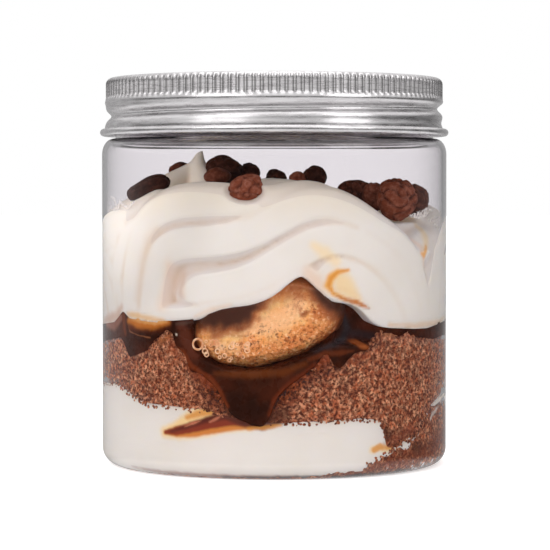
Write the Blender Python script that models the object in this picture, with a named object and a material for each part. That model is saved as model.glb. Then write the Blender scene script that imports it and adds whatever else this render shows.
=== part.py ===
"""Tiramisu layered in a clear screw-top jar.

The jar stands on z = 0 with its axis on Z; -Y is the front and +X the right. Every size below is
in millimetres and MM turns it into Blender's metres. Angles are in degrees, from the front
towards +X.
"""

import math

import bmesh
import bpy
from mathutils import Euler, Vector, noise
from mathutils.bvhtree import BVHTree

MM = 0.001
SEGMENTS = 40  # sides of every round piece
GAP = 0.32  # clearance between neighbouring solids

# The jar: blown clear plastic with a raised centre to its base, a round heel and a screw neck.
JAR_RADIUS = 36.0
WALL = 0.9
HEEL_RADIUS = 3.5
FOOT_RADIUS = 27.5  # where the flat standing ring ends and the raised centre begins
PUSH_UP = 1.8
SHOULDER_FOOT = 65.6  # height where the wall turns in towards the neck
SHOULDER_TOP = 67.8
NECK_RADIUS = 33.2
NECK_WALL = 1.1
RIM_HEIGHT = 79.4
NECK_EASE = 0.6  # how far the inside leans in below the neck

# The lid: rolled aluminium with a knurled band, one turn of thread and a curled hem.
LID_TOP = 80.4
LID_RADIUS = 35.2
LID_EDGE_RADIUS = 1.4
LID_SHEET = 0.4
LID_INSIDE_RADIUS = 33.65
KNURL_FOOT = 76.6
THREAD_FRONT = 73.2  # height of the thread groove at the front
THREAD_PITCH = 3.2
THREAD_DEPTH = 1.1
THREAD_WIDTH = 0.95
THREAD_START = -300.0  # angles where the groove begins and ends, and how long it takes to fade
THREAD_END = 175.0
THREAD_FADE = 60.0
THREAD_ROWS = (75.2, 74.3, 73.4, 72.5, 71.6, 70.6)
THREAD_SWELL = 0.1  # the wall is this much wider than the knurled band where the thread is
LID_INSIDE_CORNER = 0.8
HEM_HEIGHT = 69.1
HEM_RADIUS = 0.75
HEM_CENTRE_RADIUS = 35.7
HEM_ARC = (125, -145)  # the curl's first and last direction

# The filling: each layer fills the jar up to an uneven surface, given by its height at the axis
# and its outline (angle, height) round the wall.
FILL_RADIUS = JAR_RADIUS - WALL - GAP
FILL_RINGS = (9.0, 17.0, 24.0, 30.0, FILL_RADIUS)
LEAST_LAYER = 0.5

CREAM_BASE_CENTRE = 13.0
CREAM_BASE_OUTLINE = (
    (-140, 14.0), (-86, 16.8), (-62, 17.8), (-47, 14.3), (-24, 13.6), (-4, 11.2), (30, 11.7),
    (38, 8.0), (45, 5.6), (54, 6.4), (66, 12.0), (80, 16.0), (110, 13.5), (160, 12.5),
)
SPONGE_CENTRE = 26.0
SPONGE_OUTLINE = (
    (-130, 26.5), (-86, 25.4), (-62, 26.8), (-54, 24.2), (-40, 26.0), (-28, 21.5), (-16, 17.5),
    (-4, 15.6), (8, 20.6), (17, 24.4), (24, 23.2), (37, 28.0), (47, 28.4), (70, 27.4), (130, 27.0),
)
SYRUP_CENTRE = 29.0
SYRUP_OUTLINE = (
    (-140, 29.6), (-82, 30.4), (-60, 32.4), (-46, 32.2), (-31, 31.2), (-12, 34.0), (0, 35.4),
    (10, 40.0), (17, 35.6), (25, 34.0), (36, 29.4), (69, 29.0), (88, 30.2), (140, 29.4),
)

# A loose wedge of sponge under the cream at the right, on the jar's floor.
OFFCUT_COLUMNS = range(3, 13)  # which of the SEGMENTS sides it spans
OFFCUT_RINGS = FILL_RINGS[1:]
OFFCUT_HEIGHT = ((22, 0.6), (31, 0.9), (42, 2.4), (54, 3.9), (62, 7.4), (78, 12.0), (90, 10.0), (110, 0.8))
OFFCUT_VEIN = 0.55  # thickness of the cream left between the wedge and the sponge
OFFCUT_TOE = 2.0  # the wedge's slope starts this far inside its innermost ring

# Half a ladyfinger that points at the front wall, domed above and flatter below.
BISCUIT_CENTRE = (-0.6, 31.0)
BISCUIT_HALF_WIDTH = 15.6
BISCUIT_RISE = 9.4
BISCUIT_DROP = 8.3
BISCUIT_LENGTH = ((8.0, 0.45), (6.0, 0.78), (2.0, 0.95), (-8.0, 1.0), (-19.0, 1.0))  # (y, fullness)
BISCUIT_BACK_END = 8.8
BISCUIT_FACE = (0.97, 0.72, 0.4)  # fullness of the rings pressed on the wall
BISCUIT_EDGE_ROUNDING = 1.4
BISCUIT_TILT = 12.0
BISCUIT_SIDES = 16

# The piped swirl: a thick fluted rope that rises and falls in arches round the wall. A flute is
# (radius, path) and its path is (angle, height), measured from the middle of its arch.
ARCHES = (0.0, 121.0, -119.0)
FLUTES = (
    (4.8, ((-55, 32), (-54, 40), (-49, 49), (-38, 53.5), (-20, 54.5), (-4, 55.3), (8, 57))),
    (4.8, ((-44, 34), (-42, 42), (-33, 46.4), (-12, 47.5), (6, 52.5), (22, 53.6), (40, 50), (56, 43),
           (60, 32))),
    (4.9, ((-31, 35), (-24, 38.5), (-8, 39.6), (8, 45.6), (22, 47.9), (38, 45), (48, 38.5), (55, 32))),
    (4.6, ((15, 38.5), (24, 40), (32, 37.6), (39, 32.5))),
)
FLUTE_SQUASH = 0.35  # how far each flute is flattened by the wall
FLUTE_DEEPEST = 3.6
SWIRL_SIDE_ROWS = 12
SWIRL_TOP_RINGS = (31.5, 26.5, 21.0, 15.6, 11.0, 6.0)
SWIRL_SHOULDER = 3.2
SWIRL_CENTRE = 58.6
SWIRL_CREST = (
    (-150, 56.4), (-100, 55.6), (-75, 54.6), (-48, 57.2), (-24, 58.0), (-14, 55.8), (-2, 57.0),
    (14, 57.8), (26, 56.0), (35, 52.6), (48, 51.0), (64, 51.6), (90, 54.6), (150, 56.8),
)
SWIRL_RIPPLE = 0.7
SWIRL_RIPPLE_STEP = 9.5
PEAK_PLACE = (-15.5, 2.0)
PEAK_RISE = 7.0
PEAK_SPREAD = 3.4

# Chocolate nuggets: (x, y, width, depth, height, tilt, turn) where they lie on the swirl.
NUGGETS = (
    (-25.2, -18.6, 8.6, 5.0, 4.4, 20, 10),
    (-20.0, 6.5, 4.8, 4.6, 4.2, 0, 40),
    (-10.5, 0.5, 7.6, 5.6, 5.6, -12, 0),
    (-11.5, -6.6, 5.2, 4.4, 3.4, 0, 10),
    (-5.1, 4.4, 4.4, 4.4, 4.0, 0, 60),
    (-5.6, -31.6, 6.8, 4.8, 5.2, 14, 5),
    (0.3, 6.5, 4.6, 4.6, 3.6, 0, 30),
    (4.6, -8.5, 3.4, 3.2, 3.2, 0, 0),
    (8.2, -2.4, 5.0, 4.8, 4.4, -8, 15),
    (16.7, -7.6, 7.2, 5.0, 4.6, -10, 5),
    (20.6, -13.4, 5.0, 4.8, 6.0, 0, 0),
    (24.2, -19.4, 7.6, 6.0, 8.0, 0, 10),
    (28.9, -9.8, 5.0, 5.4, 6.2, 0, 20),
    (22.5, 7.5, 6.0, 5.4, 3.8, 0, 15),
    (9.5, 18.5, 6.4, 5.2, 3.8, 0, 50),
    (-9.0, 20.5, 5.6, 5.2, 3.8, 0, 80),
)
NUGGET_LUMPS = 0.32
NUGGET_LUMP_STEP = 2.6  # lumps per nugget size
NUGGET_VARIETY = 3.1  # step through the noise from one nugget to the next
NUGGET_SEAT = 0.38  # share of its height that its middle lies above the cream
NUGGET_LIFT = 0.55
ABOVE_ALL = 100.0  # a height over everything, from which things are dropped

COLOURS = {  # base colour, roughness, metallic
    "clear_plastic": ((0.90, 0.91, 0.93), 0.05, 0.0),
    "aluminium": ((0.72, 0.71, 0.70), 0.28, 1.0),
    "cream": ((0.92, 0.88, 0.82), 0.55, 0.0),
    "cocoa_sponge": ((0.30, 0.15, 0.10), 0.9, 0.0),
    "coffee_syrup": ((0.08, 0.03, 0.02), 0.12, 0.0),
    "biscuit": ((0.70, 0.42, 0.20), 0.75, 0.0),
    "chocolate": ((0.12, 0.05, 0.035), 0.45, 0.0),
}


def clear_scene():
    for obj in list(bpy.data.objects):
        bpy.data.objects.remove(obj, do_unlink=True)


def finish_of(name):
    """The Principled material called name, made on first use."""
    found = bpy.data.materials.get(name)
    if found:
        return found
    colour, roughness, metallic = COLOURS[name]
    material = bpy.data.materials.new(name)
    material.use_nodes = True
    shader = material.node_tree.nodes["Principled BSDF"]
    shader.inputs["Base Color"].default_value = (*colour, 1.0)
    shader.inputs["Roughness"].default_value = roughness
    shader.inputs["Metallic"].default_value = metallic
    return material


def add_object(name, points, faces, finish, sharp_from=40.0):
    """A new mesh object from points in millimetres, with its faces turned outwards."""
    mesh = bpy.data.meshes.new(name)
    mesh.from_pydata([Vector(p) * MM for p in points], [], faces)
    shell = bmesh.new()
    shell.from_mesh(mesh)
    bmesh.ops.recalc_face_normals(shell, faces=shell.faces)
    shell.to_mesh(mesh)
    shell.free()
    mesh.shade_smooth()
    mesh.set_sharp_from_angle(angle=math.radians(sharp_from))
    mesh.materials.append(finish_of(finish))
    obj = bpy.data.objects.new(name, mesh)
    bpy.context.scene.collection.objects.link(obj)
    return obj


def column_angle(column):
    return 360.0 * column / SEGMENTS


def at(radius, angle, height):
    """The point at a radius and an angle from the front."""
    turn = math.radians(angle)
    return (radius * math.sin(turn), -radius * math.cos(turn), height)


def arc(centre_radius, centre_height, size, start, end, steps):
    """(radius, height) along an arc of a profile, from start to end degrees."""
    turns = [math.radians(start + (end - start) * k / steps) for k in range(steps + 1)]
    return [(centre_radius + size * math.cos(t), centre_height + size * math.sin(t)) for t in turns]


def ring(radius, height):
    """One ring of points. Radius and height are numbers, or functions of the angle."""
    points = []
    for column in range(SEGMENTS):
        angle = column_angle(column)
        r = radius(angle) if callable(radius) else radius
        z = height(angle) if callable(height) else height
        points.append(at(r, angle, z))
    return points


def skin(rings):
    """(points, faces) of the closed surface through rings, with a pole of one point at each end.

    Each cell is cut the same way, from the inner ring's column to the outer ring's next one, so
    that two surfaces on one grid never cross.
    """
    points, starts, faces = [], [], []
    for r in rings:
        starts.append(len(points))
        points.extend(r)
    for lower, upper in zip(range(len(rings) - 1), range(1, len(rings))):
        a, b = starts[lower], starts[upper]
        for column in range(SEGMENTS):
            after = (column + 1) % SEGMENTS
            if len(rings[lower]) == 1:
                faces.append((a, b + column, b + after))
            elif len(rings[upper]) == 1:
                faces.append((a + column, b, a + after))
            elif math.hypot(*rings[upper][0][:2]) >= math.hypot(*rings[lower][0][:2]):
                faces.append((a + column, b + column, b + after))
                faces.append((a + column, b + after, a + after))
            else:
                faces.append((a + column, b + column, a + after))
                faces.append((a + after, b + column, b + after))
    return points, faces


def lathe(name, profile, finish):
    """A turned piece from (radius, height) pairs, whose first and last lie on the axis."""
    rings = [[(0.0, 0.0, z)] if r == 0 else ring(r, z) for r, z in profile]
    return add_object(name, *skin(rings), finish)


def outline_height(outline, angle):
    """The height of a closed outline at an angle, eased between its points."""
    points = sorted((a % 360.0, z) for a, z in outline)
    points.append((points[0][0] + 360.0, points[0][1]))
    angle %= 360.0
    if angle < points[0][0]:
        angle += 360.0
    for (a0, z0), (a1, z1) in zip(points, points[1:]):
        if a0 <= angle <= a1:
            share = 0.5 - 0.5 * math.cos(math.pi * (angle - a0) / (a1 - a0))
            return z0 + (z1 - z0) * share
    return points[-1][1]


def surface(centre, outline, wall_share=3.0):
    """A height field from its height at the axis to its outline at the wall."""

    def height(angle, radius):
        share = (radius / FILL_RADIUS) ** wall_share
        return centre + (outline_height(outline, angle) - centre) * share

    return height


def base_height(radius):
    """Underside of the jar: flat standing ring, raised centre."""
    if radius >= FOOT_RADIUS:
        return 0.0
    return PUSH_UP * (0.5 + 0.5 * math.cos(math.pi * radius / FOOT_RADIUS))


def floor_height(radius):
    """Inside floor of the jar, with the heel's inner curve near the wall."""
    heel_start = JAR_RADIUS - HEEL_RADIUS
    inner = HEEL_RADIUS - WALL
    if radius <= heel_start:
        return base_height(radius) + WALL
    inside = min(radius - heel_start, inner)
    return HEEL_RADIUS - math.sqrt(inner * inner - inside * inside)


def build_jar():
    heel_start = JAR_RADIUS - HEEL_RADIUS
    inside = JAR_RADIUS - WALL
    turn_in = SHOULDER_TOP - SHOULDER_FOOT
    foot_rings = (FOOT_RADIUS / 2, FOOT_RADIUS)
    mouth = NECK_RADIUS - NECK_WALL
    outer = [(0, base_height(0))] + [(r, base_height(r)) for r in foot_rings]
    outer += arc(heel_start, HEEL_RADIUS, HEEL_RADIUS, -90, 0, 3)
    outer += arc(JAR_RADIUS - turn_in, SHOULDER_FOOT, turn_in, 0, 90, 3)
    outer += [(NECK_RADIUS, SHOULDER_TOP), (NECK_RADIUS, RIM_HEIGHT)]
    inner = [(mouth, RIM_HEIGHT), (mouth, SHOULDER_TOP)]
    inner += [(inside - NECK_EASE, SHOULDER_FOOT), (inside, SHOULDER_FOOT - turn_in)]
    inner += arc(heel_start, HEEL_RADIUS, HEEL_RADIUS - WALL, 0, -90, 3)
    inner += [(r, floor_height(r)) for r in reversed(foot_rings)] + [(0, floor_height(0))]
    return lathe("jar", outer + inner, "clear_plastic")


def thread_groove(angle, height):
    """How far the rolled thread pushes the lid's wall in. It climbs to the right and fades out."""
    deepest = 0.0
    for turn in (0, 1):
        along = (angle + 180.0) % 360.0 - 180.0 - 360.0 * turn
        fade = min(1.0, max(0.0, (along - THREAD_START) / THREAD_FADE))
        fade *= min(1.0, max(0.0, (THREAD_END - along) / THREAD_FADE))
        centre = THREAD_FRONT + THREAD_PITCH * along / 360.0
        offset = (height - centre) / THREAD_WIDTH
        deepest = max(deepest, THREAD_DEPTH * fade * math.exp(-offset * offset))
    return deepest


def build_lid():
    corner = LID_RADIUS - LID_EDGE_RADIUS
    rings = [[(0.0, 0.0, LID_TOP)]]
    profile = arc(corner, LID_TOP - LID_EDGE_RADIUS, LID_EDGE_RADIUS, 90, 0, 2)
    rings += [ring(r, z) for r, z in profile + [(LID_RADIUS, KNURL_FOOT)]]
    for z in THREAD_ROWS:
        rings.append(ring(lambda a, z=z: LID_RADIUS + THREAD_SWELL - thread_groove(a, z), z))
    hem = arc(HEM_CENTRE_RADIUS, HEM_HEIGHT, HEM_RADIUS, *HEM_ARC, 5)
    inside = [(LID_INSIDE_RADIUS, HEM_HEIGHT), (LID_INSIDE_RADIUS, LID_TOP - LID_EDGE_RADIUS)]
    inside += [(LID_INSIDE_RADIUS - LID_INSIDE_CORNER, LID_TOP - LID_SHEET), (0, LID_TOP - LID_SHEET)]
    rings += [ring(r, z) for r, z in hem + inside[:-1]]
    rings.append([(0.0, 0.0, inside[-1][1])])
    return add_object("lid", *skin(rings), "aluminium")


def offcut_top(angle, radius):
    """Top of the loose sponge wedge, which is thinnest towards the axis."""
    toe = OFFCUT_RINGS[0] - OFFCUT_TOE
    share = max(0.0, (radius - toe) / (FILL_RADIUS - toe))
    return floor_height(radius) + GAP + LEAST_LAYER + outline_height(OFFCUT_HEIGHT, angle) * share


def on_offcut(column, radius):
    return column in OFFCUT_COLUMNS and radius >= OFFCUT_RINGS[0]


cream_base_top = surface(CREAM_BASE_CENTRE, CREAM_BASE_OUTLINE)
sponge_top = surface(SPONGE_CENTRE, SPONGE_OUTLINE, wall_share=4.0)
raw_syrup_top = surface(SYRUP_CENTRE, SYRUP_OUTLINE, wall_share=6.0)


def cream_base_floor(angle, radius):
    column = round(angle * SEGMENTS / 360.0) % SEGMENTS
    below = offcut_top(angle, radius) if on_offcut(column, radius) else floor_height(radius)
    return below + GAP


def cream_base_roof(angle, radius):
    least = cream_base_floor(angle, radius) + OFFCUT_VEIN
    return max(cream_base_top(angle, radius), least)


def syrup_top(angle, radius):
    return max(raw_syrup_top(angle, radius), sponge_top(angle, radius) + GAP + LEAST_LAYER)


def layer(name, floor, roof, finish):
    """A filling layer between two height fields of (angle, radius)."""
    rings = [[(0.0, 0.0, roof(0.0, 0.0))]]
    rings += [ring(r, lambda a, r=r: roof(a, r)) for r in FILL_RINGS]
    rings += [ring(r, lambda a, r=r: floor(a, r)) for r in reversed(FILL_RINGS)]
    rings.append([(0.0, 0.0, floor(0.0, 0.0))])
    return add_object(name, *skin(rings), finish)


def build_offcut():
    """The wedge lies on the same grid as the layers, over part of their columns and rings."""
    across, along = len(OFFCUT_RINGS), len(OFFCUT_COLUMNS)
    points, faces = [], []
    for top in (False, True):
        for column in OFFCUT_COLUMNS:
            for radius in OFFCUT_RINGS:
                angle = column_angle(column)
                height = offcut_top(angle, radius) if top else floor_height(radius) + GAP
                points.append(at(radius, angle, height))
    above = across * along

    def index(i, j):
        return i * across + j

    for i in range(along - 1):
        for j in range(across - 1):
            a, b, c, d = index(i, j), index(i, j + 1), index(i + 1, j + 1), index(i + 1, j)
            faces += [(a, b, c), (a, c, d)]
            faces += [(above + a, above + c, above + b), (above + a, above + d, above + c)]
    border = [index(i, 0) for i in range(along)]
    border += [index(along - 1, j) for j in range(1, across)]
    border += [index(i, across - 1) for i in range(along - 2, -1, -1)]
    border += [index(0, j) for j in range(across - 2, 0, -1)]
    for a, b in zip(border, border[1:] + border[:1]):
        faces += [(a, b, above + b), (a, above + b, above + a)]
    return add_object("sponge_offcut", points, faces, "cocoa_sponge")


def biscuit_shape(grow, reach, rounding):
    """(points, faces) of the ladyfinger, larger by grow, whose front face lies at a radius of reach."""
    tilt = Euler((0.0, -math.radians(BISCUIT_TILT), 0.0)).to_matrix()
    middle = Vector((BISCUIT_CENTRE[0], 0.0, BISCUIT_CENTRE[1]))

    def section(fullness, y=None):
        """One ring across the biscuit, at y or pressed on the wall."""
        row = []
        for side in range(BISCUIT_SIDES):
            turn = 2 * math.pi * side / BISCUIT_SIDES
            rise = BISCUIT_RISE if math.sin(turn) > 0 else BISCUIT_DROP
            across = (BISCUIT_HALF_WIDTH * fullness + grow) * math.cos(turn)
            up = (rise * fullness + grow) * math.sin(turn)
            point = middle + tilt @ Vector((across, 0.0, up))
            point.y = y if y is not None else wall_y(point.x, fullness)
            row.append(tuple(point))
        return row

    def wall_y(x, fullness):
        radius = reach - rounding * fullness ** 4
        return -math.sqrt(radius * radius - x * x)

    rows = [[(middle.x, BISCUIT_BACK_END + grow, middle.z)]]
    rows += [section(fullness, y + grow * (y > 0)) for y, fullness in BISCUIT_LENGTH]
    rows += [section(fullness) for fullness in BISCUIT_FACE]
    rows.append([(middle.x, wall_y(middle.x, 0.0), middle.z)])
    points = [p for row in rows for p in row]
    faces = []
    for side in range(BISCUIT_SIDES):
        after = (side + 1) % BISCUIT_SIDES
        faces.append((0, 1 + after, 1 + side))
        for row in range(len(rows) - 3):
            a, b = 1 + row * BISCUIT_SIDES, 1 + (row + 1) * BISCUIT_SIDES
            faces += [(a + side, a + after, b + after), (a + side, b + after, b + side)]
        last = 1 + (len(rows) - 3) * BISCUIT_SIDES
        faces.append((last + side, last + after, len(points) - 1))
    return points, faces


def cut_for_biscuit(obj, cutter):
    cut = obj.modifiers.new("room_for_ladyfinger", "BOOLEAN")
    cut.operation = "DIFFERENCE"
    cut.solver = "EXACT"
    cut.object = cutter


def path_distance(path, angle, height):
    """The distance over the unrolled wall from a point to a path of (angle, height)."""
    scale = math.radians(FILL_RADIUS)
    here = Vector((angle * scale, height))
    nearest = 1e9
    for (a0, z0), (a1, z1) in zip(path, path[1:]):
        start, end = Vector((a0 * scale, z0)), Vector((a1 * scale, z1))
        span = end - start
        share = max(0.0, min(1.0, (here - start).dot(span) / span.length_squared))
        nearest = min(nearest, (here - start - span * share).length)
    return nearest


def swirl_relief(angle, height):
    """How far the cream's side lies inside the wall: nothing on a flute, deepest between two."""
    best = FLUTE_DEEPEST
    for middle in ARCHES:
        local = (angle - middle + 180.0) % 360.0 - 180.0
        for size, path in FLUTES:
            away = path_distance(path, local, height)
            if away < size:
                best = min(best, size - math.sqrt(size * size - away * away) - FLUTE_SQUASH)
    return max(0.0, best)


def swirl_top(angle, radius):
    """Height of the swirl's top, with spiral ripples and the tail left by the nozzle."""
    share = (radius / SWIRL_TOP_RINGS[0]) ** 3
    height = SWIRL_CENTRE + (outline_height(SWIRL_CREST, angle) - SWIRL_CENTRE) * share
    ripple = math.sin(2 * math.pi * (radius / SWIRL_RIPPLE_STEP + angle / 360.0))
    height += SWIRL_RIPPLE * ripple * min(1.0, radius / SWIRL_RIPPLE_STEP) * (1.0 - share)
    x, y, _ = at(radius, angle, 0.0)
    away = math.hypot(x - PEAK_PLACE[0], y - PEAK_PLACE[1]) / PEAK_SPREAD
    return height + PEAK_RISE * math.exp(-away * away)


def build_swirl():
    def under(angle, radius):
        return syrup_top(angle, radius) + GAP

    def side(share):
        def height(angle):
            low = under(angle, FILL_RADIUS)
            high = outline_height(SWIRL_CREST, angle) - SWIRL_SHOULDER
            return low + (high - low) * share

        return ring(lambda a: FILL_RADIUS - swirl_relief(a, height(a)), height)

    rings = [[(0.0, 0.0, under(0.0, 0.0))]]
    rings += [ring(r, lambda a, r=r: under(a, r)) for r in FILL_RINGS]
    rings += [side(k / SWIRL_SIDE_ROWS) for k in range(1, SWIRL_SIDE_ROWS + 1)]
    crest_radius = (FILL_RADIUS + SWIRL_TOP_RINGS[0]) / 2
    rings.append(
        ring(
            lambda a: crest_radius - 0.5 * swirl_relief(a, outline_height(SWIRL_CREST, a) - SWIRL_SHOULDER),
            lambda a: outline_height(SWIRL_CREST, a) - SWIRL_SHOULDER / 3,
        )
    )
    rings += [ring(r, lambda a, r=r: swirl_top(a, r)) for r in SWIRL_TOP_RINGS]
    rings.append([(0.0, 0.0, swirl_top(0.0, 0.0))])
    return add_object("cream_swirl", *skin(rings), "cream", sharp_from=60.0)


def build_nugget(number, place, cream):
    """A lumpy nugget whose underside follows the cream that it lies on."""
    x, y, width, depth, height, tilt, turn = place
    shell = bmesh.new()
    bmesh.ops.create_icosphere(shell, subdivisions=2, radius=0.5)
    turned = Euler((0.0, -math.radians(tilt), math.radians(turn))).to_matrix()
    down = Vector((0.0, 0.0, -1.0))
    rest = cream.ray_cast(Vector((x, y, ABOVE_ALL)), down)[0].z
    points = []
    for vert in shell.verts:
        lump = noise.noise(vert.co * NUGGET_LUMP_STEP + Vector((NUGGET_VARIETY * number, 0.0, 0.0)))
        local = vert.co * (1.0 + NUGGET_LUMPS * lump)
        local = turned @ Vector((local.x * width, local.y * depth, local.z * height))
        placed = local + Vector((x, y, rest + height * NUGGET_SEAT))
        flat = math.hypot(placed.x, placed.y)
        if flat > FILL_RADIUS - 0.1:
            placed.xy *= (FILL_RADIUS - 0.1) / flat
        hit = cream.ray_cast(Vector((placed.x, placed.y, ABOVE_ALL)), down)[0]
        if hit:
            placed.z = max(placed.z, hit.z + NUGGET_LIFT)
        points.append(tuple(placed))
    faces = [tuple(v.index for v in face.verts) for face in shell.faces]
    shell.free()
    return add_object(f"chocolate_nugget_{number:02d}", points, faces, "chocolate", sharp_from=80.0)


def cream_tree(swirl):
    """The swirl's surface in millimetres, for placing what lies on it."""
    mesh = swirl.data
    points = [v.co / MM for v in mesh.vertices]
    return BVHTree.FromPolygons(points, [tuple(p.vertices) for p in mesh.polygons])


def build():
    clear_scene()
    build_jar()
    build_lid()
    build_offcut()
    layer("cream_base", cream_base_floor, cream_base_roof, "cream")
    sponge = layer("sponge", lambda a, r: cream_base_roof(a, r) + GAP, sponge_top, "cocoa_sponge")
    syrup = layer("coffee_syrup", lambda a, r: sponge_top(a, r) + GAP, syrup_top, "coffee_syrup")
    swirl = build_swirl()
    biscuit = biscuit_shape(0.0, FILL_RADIUS, BISCUIT_EDGE_ROUNDING)
    add_object("ladyfinger", *biscuit, "biscuit", sharp_from=50.0)
    room = biscuit_shape(GAP, JAR_RADIUS + 2.0, 0.0)
    cutter = add_object("room_for_ladyfinger", *room, "biscuit")
    cutter.hide_render = True
    cutter.display_type = "WIRE"
    for piece in (sponge, syrup, swirl):
        cut_for_biscuit(piece, cutter)
    cream = cream_tree(swirl)
    for number, place in enumerate(NUGGETS, start=1):
        build_nugget(number, place, cream)


build()
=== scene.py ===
"""Tiramisu in a clear screw-top jar: the finish of every surface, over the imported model.

Lengths are in metres, through MM where a size is a real one in millimetres. Angles round the jar
are in degrees from the front (-Y) towards +X.
"""

import math
import random

import bpy
import numpy as np
from mathutils import Euler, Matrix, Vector, noise
from mathutils.bvhtree import BVHTree


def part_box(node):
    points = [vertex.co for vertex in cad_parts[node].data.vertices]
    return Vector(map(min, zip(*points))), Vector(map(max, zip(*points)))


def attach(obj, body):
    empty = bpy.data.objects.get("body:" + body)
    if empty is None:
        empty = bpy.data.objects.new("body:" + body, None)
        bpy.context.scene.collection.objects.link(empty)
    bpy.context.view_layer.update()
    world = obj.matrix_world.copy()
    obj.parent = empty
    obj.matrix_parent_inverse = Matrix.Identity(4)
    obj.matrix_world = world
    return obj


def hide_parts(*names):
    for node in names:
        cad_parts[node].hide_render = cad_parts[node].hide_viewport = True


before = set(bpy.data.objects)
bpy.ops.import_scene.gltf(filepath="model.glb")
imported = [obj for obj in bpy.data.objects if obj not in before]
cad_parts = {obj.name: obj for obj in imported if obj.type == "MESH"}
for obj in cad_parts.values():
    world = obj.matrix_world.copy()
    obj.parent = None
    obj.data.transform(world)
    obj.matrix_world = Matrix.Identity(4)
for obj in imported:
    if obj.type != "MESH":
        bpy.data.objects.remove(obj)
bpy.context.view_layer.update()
MM = 0.001

# --- Camera ------------------------------------------------------------------------------------
# A long lens just above half the jar's height, looking down on it by two degrees.
camera = bpy.data.objects.new("camera", bpy.data.cameras.new("camera"))
camera.data.lens = 162.2
camera.data.sensor_width = 36.0
camera.data.clip_start = 0.01
camera.location = (0.16 * MM, -520 * MM, 56.2 * MM)
camera.rotation_euler = (math.radians(90.0 - 1.86), 0.0, 0.0)
bpy.context.scene.collection.objects.link(camera)
bpy.context.scene.camera = camera

# --- Studio ------------------------------------------------------------------------------------
# A white table in a white room, a large soft light over the front left, a weaker one at the right,
# a broad one above and two low ones in front, which reach under the lid. The table glows a little.
class Shade:
    """A shader socket that arithmetic works on. Each operation adds its Math node."""

    def __init__(self, tree, socket):
        self.tree, self.socket = tree, socket

    def node(self, kind, settings=None, out=0, **values):
        """Adds a node of a kind: settings are set first, then its sockets' values or links."""
        made = self.tree.nodes.new(kind)
        for key, value in (settings or {}).items():
            setattr(made, key, value)
        for key, value in values.items():
            numbered = key[0] == "i" and key[1:].isdigit()
            socket = made.inputs[int(key[1:]) if numbered else key.replace("_", " ")]
            if isinstance(value, Shade):
                self.tree.links.new(value.socket, socket)
            else:
                socket.default_value = value
        return Shade(self.tree, made.outputs[out])

    def math(self, operation, other=0.0):
        return self.node("ShaderNodeMath", {"operation": operation}, i0=self, i1=other)

    def __add__(self, other):
        return self.math("ADD", other)

    def __mul__(self, other):
        return self.math("MULTIPLY", other)

    def __sub__(self, other):
        return self.math("SUBTRACT", other)

    def __rsub__(self, other):
        return self.node("ShaderNodeMath", {"operation": "SUBTRACT"}, i0=other, i1=self)

    __radd__ = __add__
    __rmul__ = __mul__

    def ramp(self, low, high, first, last, shape="LINEAR"):
        """The value first below low, last above high, and a ramp of that shape between."""
        kind = {"interpolation_type": shape}
        return self.node("ShaderNodeMapRange", kind, i0=self, i1=low, i2=high, i3=first, i4=last)

    def step(self, low, high):
        """0 below low, 1 above high, smooth between. High may be the smaller one."""
        if low < high:
            return self.ramp(low, high, 0.0, 1.0, "SMOOTHSTEP")
        return 1.0 - self.ramp(high, low, 0.0, 1.0, "SMOOTHSTEP")

    def noise(self, scale, detail=4.0, roughness=0.55):
        return self.node("ShaderNodeTexNoise", None, 0, Vector=self, Scale=scale, Detail=detail,
                         Roughness=roughness)

    def cells(self, scale):
        return self.node("ShaderNodeTexVoronoi", None, 0, Vector=self, Scale=scale)


def new_material(name, roughness=0.5, **constants):
    """(material, its Principled shader, its Object coordinates) ready for what changes over the surface."""
    material = bpy.data.materials.new(name)
    material.use_nodes = True
    tree = material.node_tree
    shader = tree.nodes["Principled BSDF"]
    shader.inputs["Roughness"].default_value = roughness
    for key, value in constants.items():
        shader.inputs[key.replace("_", " ")].default_value = value
    place = Shade(tree, tree.nodes.new("ShaderNodeTexCoord").outputs["Object"])
    return material, shader, place


def feed(shader, name, value):
    """Links a Shade to one of the shader's sockets."""
    value.tree.links.new(value.socket, shader.inputs[name])


def ray(tree, reading):
    """One reading of the ray that asks, such as how often it has bounced."""
    return Shade(tree, tree.nodes.new("ShaderNodeLightPath").outputs[reading])


def let_through(material, shader, share, tint=(1.0, 1.0, 1.0)):
    """Lets a share of the light pass straight through the material, tinted."""
    nodes, links = material.node_tree.nodes, material.node_tree.links
    open_way = nodes.new("ShaderNodeBsdfTransparent")
    open_way.inputs["Color"].default_value = (*tint, 1.0)
    either = nodes.new("ShaderNodeMixShader")
    links.new(share.socket, either.inputs[0])
    links.new(shader.outputs["BSDF"], either.inputs[1])
    links.new(open_way.outputs[0], either.inputs[2])
    links.new(either.outputs[0], nodes["Material Output"].inputs["Surface"])


TABLE_RADIUS = 6.0
LOOK_AT = Vector((0.0, 0.0, 45 * MM))  # the lights point at the jar's middle
TIP = Vector((-19 * MM, -2 * MM, 60.5 * MM))

bpy.ops.object.select_all(action="DESELECT")
bpy.ops.mesh.primitive_circle_add(vertices=96, radius=TABLE_RADIUS, fill_type="NGON",
                                  location=(0.0, 0.0, 0.0))
table = bpy.context.object
table.name = "table"
table_white, shader, place = new_material("table_white", roughness=0.9, Base_Color=(0.93, 0.93, 0.93, 1.0),
                                          Specular_IOR_Level=0.0, Emission_Color=(1.0, 1.0, 1.0, 1.0),
                                          Emission_Strength=0.45)
let_through(table_white, shader, ray(table_white.node_tree, "Glossy Depth").math("GREATER_THAN", 0.5))
table.data.materials.append(table_white)


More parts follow.
